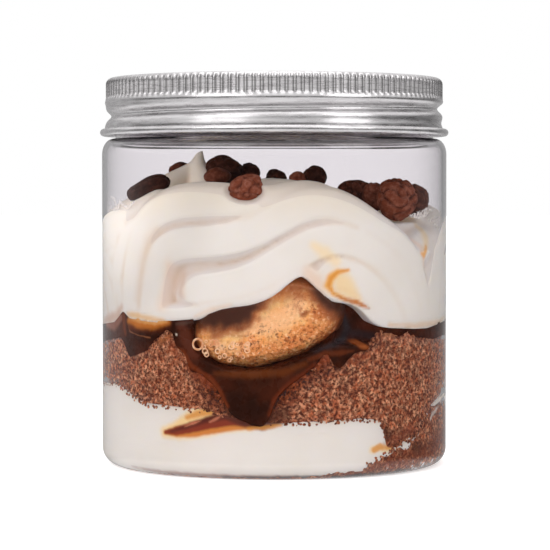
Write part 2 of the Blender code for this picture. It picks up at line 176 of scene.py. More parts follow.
def hang(name, light, place, target, mirrored):
    """Hangs a light at a place, aimed at a target. What mirrors shows it only if it is mirrored."""
    lamp = bpy.data.objects.new(name, light)
    lamp.visible_glossy = lamp.visible_transmission = mirrored
    lamp.location = place
    lamp.rotation_euler = (target - lamp.location).to_track_quat("-Z", "Y").to_euler()
    bpy.context.scene.collection.objects.link(lamp)


def softbox(name, place, size, power, mirrored=True):
    light = bpy.data.lights.new(name, "AREA")
    light.shape = "RECTANGLE"
    light.size, light.size_y = size
    light.energy = power
    hang(name, light, place, LOOK_AT, mirrored)


softbox("key_light", (-0.5, -0.62, 0.62), (0.6, 0.45), 1.1)
softbox("low_key_light", (-0.64, -0.62, 0.34), (0.6, 0.4), 1.0, mirrored=False)
softbox("fill_light", (0.62, -0.45, 0.5), (0.45, 0.45), 0.9)
softbox("top_light", (0.0, 0.0, 0.95), (0.8, 0.8), 2.0)
softbox("front_light", (-0.2, -0.9, 0.14), (0.6, 0.3), 1.6, mirrored=False)

snoot = bpy.data.lights.new("tip_light", "SPOT")  # a narrow beam through the wall onto the swirl's tip
snoot.energy = 26.0
snoot.spot_size = math.radians(2.4)
snoot.spot_blend = 0.7
snoot.shadow_soft_size = 0.02
hang("tip_light", snoot, (-0.5, -0.35, 0.1), TIP, mirrored=False)

# What mirrors sees a room that is dim in front and brighter above and behind. The camera sees plain
# white, and matt things are lit by the same white room, a little weaker.
world = bpy.data.worlds.new("studio")
world.use_nodes = True
sky = world.node_tree
aim = Shade(sky, sky.nodes.new("ShaderNodeTexCoord").outputs["Generated"])
aside, back, up = (aim.node("ShaderNodeSeparateXYZ", None, axis, Vector=aim) for axis in range(3))
above = up.math("ABSOLUTE").ramp(0.12, 0.45, 0.02, 0.85, "SMOOTHSTEP")
behind = back.ramp(-0.2, 0.7, 0.02, 0.4, "SMOOTHSTEP") * aside.ramp(0.25, 0.85, 1.0, 0.25)
ambient = ray(sky, "Diffuse Depth").math("MINIMUM", 1.0).ramp(0.0, 1.0, 1.0, 0.66)
unmirrored = ray(sky, "Glossy Depth").math("LESS_THAN", 0.5)
background = sky.nodes["Background"]
feed(background, "Strength", above.math("MAXIMUM", behind).math("MAXIMUM", ambient * unmirrored))
background.inputs["Color"].default_value = (1.0, 1.0, 1.0, 1.0)
bpy.context.scene.world = world
bpy.context.scene.view_settings.view_transform = "Standard"


# --- Jar ---------------------------------------------------------------------------------------
# Blown clear plastic, 0.9 mm thick: round heel, raised centre, short shoulder and a neck that the
# lid hides. One drum, bevelled at heel and shoulder, then given its wall.
def bump(height, distance, strength=1.0):
    return height.node("ShaderNodeBump", None, 0, Height=height, Distance=distance, Strength=strength)


def select_where(obj, mode, test):
    """In edit mode on obj, selects the vertices, edges or faces whose middle passes the test."""
    bpy.ops.object.mode_set(mode="EDIT")
    bpy.ops.mesh.select_mode(type=mode)
    bpy.ops.mesh.select_all(action="DESELECT")
    bpy.ops.object.mode_set(mode="OBJECT")
    mesh = obj.data
    for item in {"VERT": mesh.vertices, "EDGE": mesh.edges, "FACE": mesh.polygons}[mode]:
        if mode == "VERT":
            middle = item.co
        elif mode == "EDGE":
            middle = (mesh.vertices[item.vertices[0]].co + mesh.vertices[item.vertices[1]].co) / 2
        else:
            middle = item.center
        item.select = bool(test(middle, item))
    bpy.ops.object.mode_set(mode="EDIT")


def points_of(obj):
    """An array of the mesh's points, in metres."""
    flat = np.empty(len(obj.data.vertices) * 3)
    obj.data.vertices.foreach_get("co", flat)
    return flat.reshape(-1, 3)


def move_points(obj, points):
    obj.data.vertices.foreach_set("co", np.ascontiguousarray(points, dtype=np.float64).ravel())
    obj.data.update()


def round_jar(points):
    """The angle of each point round the jar, and its distance from the jar's axis."""
    return np.degrees(np.arctan2(points[:, 0], -points[:, 1])), np.hypot(points[:, 0], points[:, 1])


jar_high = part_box("jar")[1]
JAR_RADIUS = jar_high.y
WALL = 0.9 * MM
INSIDE = JAR_RADIUS - WALL
HEEL = 3.5 * MM
FOOT = 27.5 * MM  # radius of the flat ring that it stands on, inside which the floor rises
FLOOR_RINGS = 9
FLOOR_RING = 2.8 * MM
PUSH_UP = 1.8 * MM
SHOULDER = 67.8 * MM
SHOULDER_TURN = 2.3 * MM
SHOULDER_STRETCH = 1.4  # the shoulder is this much taller than it is wide
NECK = 33.2 * MM

bpy.ops.object.select_all(action="DESELECT")
bpy.ops.mesh.primitive_cylinder_add(vertices=192, radius=JAR_RADIUS, depth=SHOULDER,
                                    location=(0.0, 0.0, SHOULDER / 2))
jar = bpy.context.object
jar.name = "clear_jar"
bpy.ops.object.transform_apply(location=True)
select_where(jar, "EDGE", lambda m, e: m.z < 0.1 * MM)
bpy.ops.mesh.bevel(offset=HEEL, segments=12)
select_where(jar, "EDGE", lambda m, e: m.z > SHOULDER - 0.1 * MM)
bpy.ops.mesh.bevel(offset=SHOULDER_TURN, segments=8)
select_where(jar, "FACE", lambda m, f: m.z < 0.1 * MM and f.normal.z < -0.9 and len(f.vertices) > 8)
bpy.ops.mesh.inset(thickness=JAR_RADIUS - HEEL - FOOT)
for ring in range(FLOOR_RINGS):
    bpy.ops.mesh.inset(thickness=FLOOR_RING)
select_where(jar, "FACE", lambda m, f: m.z > SHOULDER - 0.1 * MM and len(f.vertices) > 8)
bpy.ops.mesh.inset(thickness=JAR_RADIUS - SHOULDER_TURN - NECK)
bpy.ops.mesh.extrude_region_move(TRANSFORM_OT_translate={"value": (0.0, 0.0, jar_high.z - SHOULDER)})
bpy.ops.mesh.delete(type="FACE")
bpy.ops.object.mode_set(mode="OBJECT")
shell = points_of(jar)
reach = round_jar(shell)[1]
underside = (shell[:, 2] < 0.01 * MM) & (reach < FOOT)
shell[underside, 2] = PUSH_UP * (0.5 + 0.5 * np.cos(np.pi * reach[underside] / FOOT))
turned_in = (shell[:, 2] > SHOULDER - SHOULDER_TURN - 0.01 * MM) & (shell[:, 2] < SHOULDER)
shell[turned_in, 2] = SHOULDER - (SHOULDER - shell[turned_in, 2]) * SHOULDER_STRETCH
move_points(jar, shell)
solid = jar.modifiers.new("wall", "SOLIDIFY")
solid.thickness = WALL
solid.offset = -1.0
solid.use_even_offset = True
bpy.ops.object.modifier_apply(modifier="wall")
bpy.ops.object.shade_smooth_by_angle(angle=math.radians(35))

clear_plastic, shader, place = new_material("clear_plastic", roughness=0.015, IOR=1.5,
                                            Transmission_Weight=1.0, Base_Color=(0.945, 0.92, 0.942, 1.0))
ripple = place.node("ShaderNodeMapping", None, 0, Vector=place, Scale=(1.0, 1.0, 0.25)).noise(45.0, 2.0)
feed(shader, "Normal", bump(ripple, 0.05 * MM, 0.35))
let_through(clear_plastic, shader, ray(clear_plastic.node_tree, "Is Shadow Ray"), (0.96, 0.95, 0.96))
jar.data.materials.append(clear_plastic)
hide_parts("jar")
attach(jar, "root")


# --- Lid ---------------------------------------------------------------------------------------
# Rolled aluminium, about 0.35 mm: flat top, knurled band, one turn of rolled thread that runs
# down to the left, and a hem curled outwards. Screwed down over the jar's neck.
def colour_mix(share, first, second):
    """A colour between two colours, by a share of 0 to 1."""
    as_input = [c if isinstance(c, Shade) else (*c, 1.0) for c in (first, second)]
    kind = {"data_type": "RGBA", "blend_type": "MIX"}
    return share.node("ShaderNodeMix", kind, 2, i0=share, i6=as_input[0], i7=as_input[1])


def paint_points(obj, name, values):
    """Keeps a number for each point, which the material reads."""
    layer = obj.data.attributes.new(name, "FLOAT", "POINT")
    layer.data.foreach_set("value", np.ascontiguousarray(values, dtype=np.float32))


def painted(place, name):
    return place.node("ShaderNodeAttribute", {"attribute_name": name}, 2)


def smooth_step(value, low, high):
    share = np.clip((value - low) / (high - low), 0.0, 1.0)
    return share * share * (3.0 - 2.0 * share)


lid_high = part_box("lid")[1]
LID_RADIUS = 35.2 * MM
LID_EDGE = 1.3 * MM
SHEET = 0.35 * MM
SKIRT_ROWS = 44
KNURLS = 137
KNURL_COLUMNS = 6
KNURL_DEPTH = 0.42 * MM
KNURL_FOOT = 76.3 * MM
KNURL_HEAD = 79.5 * MM
THREAD_FRONT = 73.2 * MM
THREAD_PITCH = 3.2 * MM
THREAD_DEPTH = 1.15 * MM
THREAD_WIDTH = 0.9 * MM
THREAD_START = (105.0, 170.0)  # the angles between which the groove runs in, and out a lap later
THREAD_END = (-300.0, -230.0)
BEAD_HEIGHT = 75.3 * MM  # a low bead rolled between thread and knurls
BEAD_RISE = 0.18 * MM
FLARE = 0.2 * MM  # how far the skirt opens above the hem
HEM_HEIGHT = 69.1 * MM
HEM_SIZE = 0.75 * MM

bpy.ops.object.select_all(action="DESELECT")
skirt_foot = HEM_HEIGHT + 0.3 * MM
bpy.ops.mesh.primitive_cylinder_add(vertices=KNURLS * KNURL_COLUMNS, radius=LID_RADIUS,
                                    end_fill_type="NGON", depth=lid_high.z - skirt_foot,
                                    location=(0, 0, (lid_high.z + skirt_foot) / 2))
lid = bpy.context.object
lid.name = "screw_lid"
bpy.ops.object.transform_apply(location=True)
select_where(lid, "EDGE", lambda m, e: m.z > lid_high.z - 0.01 * MM)
bpy.ops.mesh.bevel(offset=LID_EDGE, segments=5)
select_where(lid, "EDGE", lambda m, e: skirt_foot + 1 * MM < m.z < lid_high.z - LID_EDGE - 1 * MM)
bpy.ops.mesh.subdivide(number_cuts=SKIRT_ROWS - 1)
select_where(lid, "FACE", lambda m, f: m.z > lid_high.z - 0.01 * MM and len(f.vertices) > 8)
bpy.ops.mesh.inset(thickness=0.6 * MM)
bpy.ops.mesh.inset(thickness=0.5 * MM)
bpy.ops.transform.translate(value=(0.0, 0.0, -0.25 * MM))
bpy.ops.mesh.inset(thickness=12 * MM)
select_where(lid, "FACE", lambda m, f: m.z < skirt_foot + 0.01 * MM and len(f.vertices) > 8)
bpy.ops.mesh.delete(type="FACE")
bpy.ops.object.mode_set(mode="OBJECT")

skirt = points_of(lid)
turn, reach = round_jar(skirt)
z = skirt[:, 2]

pressed = np.zeros(len(skirt))
for lap in (0, 1):
    along = turn - 360.0 * lap
    fade = smooth_step(along, *THREAD_END) * (1.0 - smooth_step(along, *THREAD_START))
    centre = THREAD_FRONT + THREAD_PITCH * along / 360.0
    pressed = np.maximum(pressed, THREAD_DEPTH * fade * np.exp(-(((z - centre) / THREAD_WIDTH) ** 2)))
band = smooth_step(z, KNURL_FOOT - 0.5 * MM, KNURL_FOOT + 0.35 * MM)
band *= 1 - smooth_step(z, KNURL_HEAD, lid_high.z)
tooth = 0.5 + 0.5 * np.cos(np.radians(turn) * KNURLS)
pressed += KNURL_DEPTH * band * smooth_step(tooth, 0.15, 0.75)
bulge = BEAD_RISE * np.exp(-(((z - BEAD_HEIGHT) / (0.5 * MM)) ** 2))
bulge += FLARE * (1 - smooth_step(z, 70 * MM, 71.4 * MM))
on_skirt = smooth_step(reach, LID_RADIUS - 2.0 * MM, LID_RADIUS - 0.9 * MM)
# Painted shade: the groove attribute is a dark line along both sides of each knurl's slot, where its steep
# sides would show dark.
paint_points(lid, "groove", 0.95 * band * np.exp(-(((tooth - 0.25) / 0.14) ** 2)))
paint_points(lid, "knurled", band * (1 - smooth_step(z, KNURL_HEAD - 0.8 * MM, KNURL_HEAD)))
skirt[:, :2] *= ((reach + (bulge - pressed) * on_skirt) / np.maximum(reach, 1e-9))[:, None]
move_points(lid, skirt)
sheet = lid.modifiers.new("sheet", "SOLIDIFY")
sheet.thickness = SHEET
sheet.offset = -1.0
bpy.ops.object.modifier_apply(modifier="sheet")
bpy.ops.object.select_all(action="DESELECT")
bpy.ops.mesh.primitive_torus_add(major_segments=256, minor_segments=20, major_radius=lid_high.y - HEM_SIZE,
                                 minor_radius=HEM_SIZE, location=(0.0, 0.0, HEM_HEIGHT))
bpy.ops.object.transform_apply(location=True)
lid.select_set(True)
bpy.context.view_layer.objects.active = lid
bpy.ops.object.join()
bpy.ops.object.shade_smooth_by_angle(angle=math.radians(50))

aluminium, shader, place = new_material("aluminium", Metallic=1.0, Anisotropic=0.7,
                                        Anisotropic_Rotation=0.25)
brushed = place.node("ShaderNodeMapping", None, 0, Vector=place, Scale=(0.1, 0.1, 1.0)).noise(2400.0, 3.0)
mottle = place.noise(90.0, 3.0)
tint = colour_mix(brushed.step(0.3, 0.7), (0.70, 0.675, 0.685), (0.93, 0.905, 0.915))
tint = colour_mix(mottle.step(0.3, 0.7) * 0.15, tint, (0.76, 0.74, 0.75))
# The knurl slots' painted shade darkens the metal's colour there.
feed(shader, "Base Color", colour_mix(painted(place, "groove"), tint, (0.12, 0.115, 0.115)))
feed(shader, "Metallic", 1.0 - painted(place, "knurled") * 0.36)
feed(shader, "Roughness", 0.2 + brushed * 0.16)
feed(shader, "Normal", bump(brushed, 0.03 * MM, 0.3))
lid.data.materials.clear()
lid.data.materials.append(aluminium)
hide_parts("lid")
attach(lid, "root")


# --- Cream base --------------------------------------------------------------------------------
# Mascarpone cream spooned onto the jar's floor. It fills the heel and meets the sponge in an
# uneven line, and at the right it thins to a vein over the loose wedge of sponge.
SINK = 0.12 * MM  # the filling reaches this far into the jar's wall, so that no air shows between


def screen(red, green, blue):
    """The linear colour of an 8-bit screen colour."""
    shares = (red / 255, green / 255, blue / 255)
    return tuple(c / 12.92 if c <= 0.04045 else ((c + 0.055) / 1.055) ** 2.4 for c in shares)


def outline(*points, soften=1.5):
    """A line round the wall through (angle, height in mm), as a function of the angle."""
    steps = np.arange(-180.0, 180.0, 0.25)
    angles, heights = np.array(sorted(points)).T
    line = np.interp(steps, angles, heights, period=360.0)
    blur = np.fft.ifftshift(np.exp(-0.5 * (steps / soften) ** 2))
    line = np.fft.irfft(np.fft.rfft(line) * np.fft.rfft(blur / blur.sum()), len(steps))
    return lambda turn: np.interp(turn, steps, line, period=360.0) * MM


def wall_reach(height, sink=SINK):
    """Radius of the jar's inner face at a height, plus sink. It follows the heel's inner curve."""
    inner = HEEL - WALL + sink
    drop = np.clip(HEEL - height, 0.0, inner)
    return JAR_RADIUS - HEEL + np.sqrt(inner**2 - drop**2)


def floor_at(reach):
    """Height of the jar's inner floor at a radius, less SINK."""
    inner = HEEL - WALL + SINK
    past = np.clip(reach - (JAR_RADIUS - HEEL), 0.0, inner)
    raised = PUSH_UP * (0.5 + 0.5 * np.cos(np.pi * np.minimum(reach, FOOT) / FOOT))
    return np.where(past > 0, HEEL - np.sqrt(inner**2 - past**2), WALL - SINK + raised)


def at(turn, reach, height):
    """Points at an angle, a radius and a height."""
    angle = np.radians(turn)
    return np.stack(np.broadcast_arrays(reach * np.sin(angle), -reach * np.cos(angle), height), axis=-1)


def hold_inside(points, limit):
    """Presses points back towards the jar's axis where they lie further out than a limit."""
    points[:, :2] *= np.minimum(1.0, limit / np.maximum(round_jar(points)[1], 1e-6))[:, None]


def grain(points, size, seed=0.0):
    """Smooth noise of about -1 to 1 at each point, in lumps of about size."""
    return np.array([noise.noise(Vector(p) / size + Vector((seed, seed, seed))) for p in points])


def cells(points, size, seed=0.0):
    """Distance to the nearest of scattered centres about size apart, as a share of size."""
    return np.array([noise.voronoi(Vector(p) / size + Vector((seed, seed, seed)))[0][0] for p in points])


def drum(name, columns, rows, rings):
    """A drum of radius and height 1 with rows of faces round it and rings on its ends, to be shaped.

    Gives the object and, for each point, its angle, its radius and its height.
    """
    bpy.ops.object.select_all(action="DESELECT")
    bpy.ops.mesh.primitive_cylinder_add(vertices=columns, radius=1.0, depth=1.0, end_fill_type="NGON",
                                        location=(0.0, 0.0, 0.5))
    obj = bpy.context.object
    obj.name = name
    bpy.ops.object.transform_apply(location=True)
    select_where(obj, "EDGE", lambda m, e: abs(m.z - 0.5) < 0.1)
    bpy.ops.mesh.subdivide(number_cuts=rows - 1)
    for end in (0.0, 1.0):
        select_where(obj, "FACE", lambda m, f: abs(m.z - end) < 1e-4)
        for ring in range(rings):
            bpy.ops.mesh.inset(thickness=1.0 / (rings + 1))
        bpy.ops.mesh.poke()
    bpy.ops.object.mode_set(mode="OBJECT")
    points = points_of(obj)
    return obj, *round_jar(points), points[:, 2]


COLUMNS, RINGS = 900, 10  # faces round each layer of filling, and rings on its ends


def fill_between(name, lower, upper, rows, relief=None, sink=SINK, middle=(None, None)):
    """A layer of filling between two lines round the wall, and at its middle between two heights.

    relief gives how far each wall point lies inside the wall.
    """
    obj, turn, share, height = drum(name, COLUMNS, rows, RINGS)
    low, high = lower(turn), upper(turn)
    side = share > 0.999
    z = low + (high - low) * height
    for end, line, centre in ((0.0, low, middle[0]), (1.0, high, middle[1])):
        cap = ~side & (np.abs(height - end) < 1e-4)
        flat = line.mean() if centre is None else centre
        z[cap] = (flat + (line - flat) * share**4)[cap]
    reach = share * wall_reach(z, sink)
    if relief is not None:
        reach[side] -= relief(at(turn, reach, z)[side], height[side])
    move_points(obj, at(turn, reach, z))
    bpy.ops.object.shade_smooth()
    return obj


def smear_distance(turn, z, path):
    """How far outside a smear points of the wall lie, in metres.

    The smear's path is of (angle, height in mm) or of (angle, height, half width, both in mm).
    """
    nearest = np.full(np.shape(turn), 1.0)
    spot = np.stack([np.radians(turn) * INSIDE, z], axis=-1)
    for first, second in zip(path, path[1:]):
        start = np.array([math.radians(first[0]) * INSIDE, first[1] * MM])
        span = np.array([math.radians(second[0]) * INSIDE, second[1] * MM]) - start
        along = np.clip(((spot - start) @ span) / (span @ span), 0.0, 1.0)
        wide = [end[2] * MM if len(end) > 2 else 0.0 for end in (first, second)]
        gap = np.linalg.norm(spot - start - along[..., None] * span, axis=-1)
        nearest = np.minimum(nearest, gap - wide[0] - (wide[1] - wide[0]) * along)
    return nearest


def stain(obj, strokes, wobble=0.25 * MM):
    """Paints strokes of colour on a piece's points. Material nodes read them with stained().

    A stroke is (colour, strength, half width in mm, softness in mm, path), as in smear_distance.
    """
    points = points_of(obj)
    turn = round_jar(points)[0]
    rough = wobble * (grain(points, 1.7 * MM, 30.0) + 0.5 * grain(points, 0.7 * MM, 40.0))
    colour, cover = np.zeros((len(points), 3)), np.zeros(len(points))
    for tone, strength, half_width, soft, path in strokes:
        near = smear_distance(turn, points[:, 2], path) + rough * min(1.0, 0.4 + half_width)
        share = strength * (1 - smooth_step(near, (half_width - soft / 2) * MM,
                                            (half_width + soft / 2) * MM))
        colour = colour * (1 - share)[:, None] + share[:, None] * np.array(tone)
        cover = cover + (1 - cover) * share
    rgba = np.concatenate([colour / np.maximum(cover, 1e-6)[:, None], cover[:, None]], axis=1)
    layer = obj.data.attributes.new("stain", "FLOAT_COLOR", "POINT")
    layer.data.foreach_set("color", np.ascontiguousarray(rgba, dtype=np.float32).ravel())


def stained(place, plain):
    """The plain colour with the piece's stains over it."""
    cover = place.node("ShaderNodeAttribute", {"attribute_name": "stain"}, 3)
    return colour_mix(cover, plain, place.node("ShaderNodeAttribute", {"attribute_name": "stain"}, 0))


def cream_material():
    """Thick whipped cream: ivory, faintly see-through and warmer towards its top, with painted warm shade in
    its folds.
    """
    material, shader, place = new_material("cream", Subsurface_Weight=0.35, Subsurface_Scale=0.002,
                                           Subsurface_Radius=(1.0, 0.85, 0.62))
    cloud = place.noise(110.0, 2.0).step(0.3, 0.75)
    height = place.node("ShaderNodeSeparateXYZ", None, 2, Vector=place)
    cream = colour_mix(cloud * 0.5, screen(237, 232, 225), screen(231, 225, 215))
    cream = colour_mix(height.step(49 * MM, 58 * MM) * 0.8, cream, screen(232, 221, 202))
    # Painted shade: the fold attribute tints the hollows between the flutes a warm shadow beige.
    cream = colour_mix(painted(place, "fold"), cream, screen(214, 186, 152))
    feed(shader, "Base Color", stained(place, cream))
    silk = place.noise(700.0, 3.0)
    feed(shader, "Roughness", 0.36 + silk * 0.12)
    feed(shader, "Normal", bump(silk + place.noise(170.0, 2.0), 0.06 * MM, 0.5))
    return material


base_line = outline((-180, 14.5), (-130, 15.5), (-86, 17), (-62, 17.5), (-52, 15.2), (-45, 14.2),
                    (-24, 13.7), (-8, 11.6), (0, 11.2), (29, 11.7), (35, 11.3), (37, 10.7), (38, 9.0),
                    (38.2, 6.8), (39.5, 5.6), (43, 5.5), (45.5, 5.7), (47.5, 6.8), (50, 7.3), (51.5, 6.4),
                    (53, 6.6), (57, 8.6), (59, 11.4), (60.3, 11.9), (61.5, 11.2), (63.5, 12.7), (66, 13.5),
                    (70, 14.2), (78, 15.0), (86, 14.6), (100, 13.6), (140, 13.5), soften=0.5)
offcut_line = outline((8.5, 0.8), (15, 1.2), (22, 1.8), (30.5, 1.9), (32, 2.9), (37, 3.8), (40.5, 4.6),
                      (43, 5.4), (45.5, 6.2), (47, 5.2), (50, 5.7), (51.5, 7.4), (57, 10.0), (58.5, 12.4),
                      (60, 10.4), (61.2, 12.4), (64, 13.6), (67, 13.4), (73, 14.2), (78, 14.8), (92, 11.0),
                      (106, 4.0), (112, 0.7), soften=0.5)


def cream_relief(wall, share):
    """Faint level drag marks left by the spoon, where the cream stands off the wall."""
    level = grain(wall * np.array([0.09, 0.09, 1.0]), 1.3 * MM)
    return 0.03 * MM * (1 + level) + 0.05 * MM * smooth_step(level, 0.34, 0.44)


STAND_BACK = 1.5 * MM  # how far the cream stands back from the wall behind the sponge
cream_base = fill_between("cream_base_fill", lambda t: np.full(np.shape(t), WALL - SINK),
                          lambda t: base_line(t) + 0.7 * MM, 60, cream_relief, middle=(None, 13 * MM))
shape = points_of(cream_base)
turn, reach = round_jar(shape)
wedge = offcut_line(turn)
behind_wedge = smooth_step(wedge - shape[:, 2], 0.3 * MM, 1.0 * MM) * (wedge > WALL)
behind_sponge = smooth_step(shape[:, 2] - base_line(turn), 0.1 * MM, 0.6 * MM)
covered = np.maximum(behind_wedge, behind_sponge)
shape[:, :2] *= (1.0 - STAND_BACK * covered / np.maximum(reach, STAND_BACK))[:, None]
shape[:, 2] = np.maximum(shape[:, 2], floor_at(reach) + 0.02 * MM)
move_points(cream_base, shape)
HONEY, AMBER = screen(246, 214, 150), screen(226, 150, 56)
# Painted shade, patchy, along the join with the sponge above, through the cream's fold shade.
join_shade = (0.5 + 0.5 * grain(shape, 6 * MM)) * np.exp(-np.abs(shape[:, 2] - base_line(turn)) / (0.35 * MM))
paint_points(cream_base, "fold", np.clip(join_shade, 0, 1) * 0.8)
stain(cream_base, (
    (HONEY, 0.95, 0.7, 1.6,
     ((-37.5, 9.0, 0.4), (-32, 9.6, 1.3), (-25, 11.2, 2.2), (-18, 12.4, 2.4), (-8, 11.6, 0.8))),
    (screen(214, 128, 40), 0.95, 0.2, 0.7,
     ((-37.6, 9.0, 0.2), (-33, 9.1, 0.9), (-26.6, 9.8, 1.3), (-21, 10.6, 1.4), (-14, 11.3, 1.3),
      (-6, 11.2, 0.7))),
    (AMBER, 0.85, 0.3, 0.9, ((-29.1, 12.1, 0.1), (-25.4, 12.9, 0.4), (-20.7, 13.6, 0.5), (-15, 13.8, 0.6))),
    (screen(140, 48, 16), 1.0, 0.1, 0.6,
     ((-37.4, 9.0, 0.3), (-33, 9.3, 0.8), (-26.6, 10.4, 1.0), (-21, 11.3, 1.1), (-14, 12.2, 1.3),
      (-7, 11.8, 1.0))),
    (screen(84, 26, 10), 0.9, 0.0, 0.8,
     ((-35, 9.2, 0.2), (-29, 10.3, 0.4), (-22, 11.8, 0.5), (-15, 13.0, 0.9), (-9, 12.6, 1.2))),
    (screen(92, 36, 16), 0.95, 0.2, 0.9,
     ((-15, 12.4, 0.3), (-10, 11.4, 0.5), (-4, 11.0, 0.8), (3, 11.6, 0.2))),
    # Painted highlights: two small pink glints on the syrup streak.
    (screen(216, 132, 96), 0.85, 0.0, 0.3, ((-30, 10.3, 0.1), (-27, 11.0, 0.25), (-24, 11.6, 0.1))),
    (screen(216, 132, 96), 0.85, 0.0, 0.3, ((-21, 11.4, 0.1), (-18.5, 12.2, 0.25), (-16.5, 13.0, 0.1))),
    (AMBER, 0.7, 0.2, 0.6, ((-8, 10.3, 0.2), (-3, 10.5, 0.3), (2, 11.0, 0.1))),
    # Painted shade: a dark line along the floor, in place of the dark edge seen through the jar's heel.
    (screen(176, 140, 130), 0.8, 0.0, 0.5,
     ((-56, 1.5, 0.1), (-36, 1.1, 0.3), (-15, 1.0, 0.3), (8, 1.0, 0.2))),
    (screen(84, 66, 62), 0.9, 0.0, 0.4,
     ((-18, 0.95, 0.1), (-6, 0.9, 0.25), (10, 0.9, 0.3), (24, 1.0, 0.2))),
    (HONEY, 0.8, 0.7, 1.0, ((33, 5.6), (36, 5.9), (41, 5.4))),
    (AMBER, 0.8, 0.2, 0.6, ((34, 5.6, 0.4), (36.5, 6.1, 0.5), (41, 5.7, 0.2))),
))
cream = cream_material()
cream_base.data.materials.append(cream)
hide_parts("cream_base")
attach(cream_base, "root")


# --- Cocoa sponge ------------------------------------------------------------------------------
# A slab of cocoa sponge pressed against the wall, with open pores and a ragged, crumbly edge, and
# the loose wedge of the same sponge on the floor at the right. The syrup has soaked its middle.
def sponge_material():
    material, shader, place = new_material("cocoa_sponge")
    crumb = place.cells(1300.0).step(0.72, 0.34)
    pore_shade = place.noise(1750.0, 3.0, 0.72).step(0.4, 0.54)
    tone = place.noise(900.0, 4.0, 0.65).step(0.38, 0.62)
    broad = place.noise(230.0, 3.0).step(0.35, 0.7)
    wet = painted(place, "wet")
    dry = colour_mix(tone, screen(216, 118, 74), screen(255, 188, 142))
    dry = colour_mix(broad * 0.35, dry, screen(206, 114, 70))
    # Painted shade in the gaps between the crumbs and in the pores.
    dry = colour_mix((1.0 - crumb) * 0.6, dry, screen(118, 54, 32))
    dry = colour_mix((1.0 - pore_shade) * 0.92, dry, screen(92, 36, 18))
    # Painted highlights: pale specks, also made shinier, as glints on the crumb.
    highlight_specks = place.noise(2300.0, 2.0).step(0.66, 0.73) * place.noise(300.0, 2.0).step(0.42, 0.62)
    dry = colour_mix(highlight_specks, dry, screen(250, 206, 168))
    soaked = colour_mix(tone, screen(96, 38, 16), screen(170, 84, 42))
    # Painted shade in the pores of the soaked parts too.
    soaked = colour_mix(1.0 - pore_shade, soaked, screen(54, 20, 10))
    feed(shader, "Base Color", stained(place, colour_mix(wet, dry, soaked)))
    feed(shader, "Roughness", 0.8 - wet * 0.5 - highlight_specks * 0.3)
    feed(shader, "Normal", bump(pore_shade + crumb * 0.5, 0.3 * MM, 0.8))
    return material


def crumb_relief(wall, share):
    """Open pores and rounded crumbs, deepest next to the ragged edges."""
    edge = np.exp(-np.minimum(share, 1.0 - share) * 14.0)
    pores = np.clip(0.42 - cells(wall, 1.15 * MM), 0.0, 1.0) / 0.42
    return 0.34 * MM * pores + 0.1 * MM * (1 + grain(wall, 0.9 * MM)) + 0.35 * MM * edge


def ragged(line, size, seed):
    """The same line with a crumbly edge."""
    def height(turn):
        spots = at(turn, INSIDE, 0.0)
        steps = grain(spots, 2.6 * MM, seed) + 0.8 * grain(spots, 1.1 * MM, seed + 9.0)
        return line(turn) + size * steps
    return height


sponge_line = outline((-180, 27), (-130, 26.6), (-86, 25.0), (-75, 26.1), (-65.5, 26.9), (-60.5, 27.3),
                      (-58, 25.9), (-56, 24.1), (-54.5, 23.4), (-52, 23.9), (-45.5, 25.0), (-43.5, 26.6),
                      (-39.5, 28.3), (-37, 29.3), (-34.5, 29.0), (-33.5, 26.3), (-29.5, 24.5), (-28, 21.4),
                      (-23.5, 20.8), (-20.5, 19.2), (-17.8, 17.3), (-15.8, 15.0), (-14.4, 13.4),
                      (-11.5, 12.2), (-9, 11.4), (-7, 10.8), (-3.5, 10.8), (-1.6, 12.0), (-0.4, 14.4),
                      (1.2, 16.5), (3.5, 18.0), (6, 19.3), (9.8, 20.9), (13, 22.4), (15.5, 24.6),
                      (17.5, 25.0), (19, 22.5), (21.5, 22.0), (24, 23.6), (26.5, 25.0), (31, 25.4),
                      (33.5, 26.8), (36, 27.7), (38, 29.0), (41, 28.8), (44.5, 27.9), (47, 28.3),
                      (49, 28.9), (51, 28.1), (54.5, 27.5), (65, 26.9), (78, 27.3), (120, 27), soften=0.45)
sponge_sink = SINK + 0.06 * MM
sponge = fill_between("cocoa_sponge_layer", ragged(base_line, 0.4 * MM, 3.0),
                      ragged(lambda t: sponge_line(t) + 0.5 * MM, 0.5 * MM, 7.0), 46, crumb_relief,
                      sink=sponge_sink, middle=(13.4 * MM, 26 * MM))
offcut = fill_between("cocoa_sponge_offcut", lambda t: np.full(np.shape(t), WALL - sponge_sink),
                      ragged(lambda t: np.maximum(offcut_line(t), WALL), 0.3 * MM, 11.0), 34, crumb_relief,
                      sink=sponge_sink + 0.02 * MM, middle=(None, WALL))
cocoa = sponge_material()
RUST, BARK, CURD = screen(170, 76, 32), screen(84, 38, 16), screen(236, 222, 212)
SOAK = ((-24, 22), (-18, 18), (-12, 14), (-4, 12), (0, 16), (8, 20), (14, 23))  # where syrup has run through
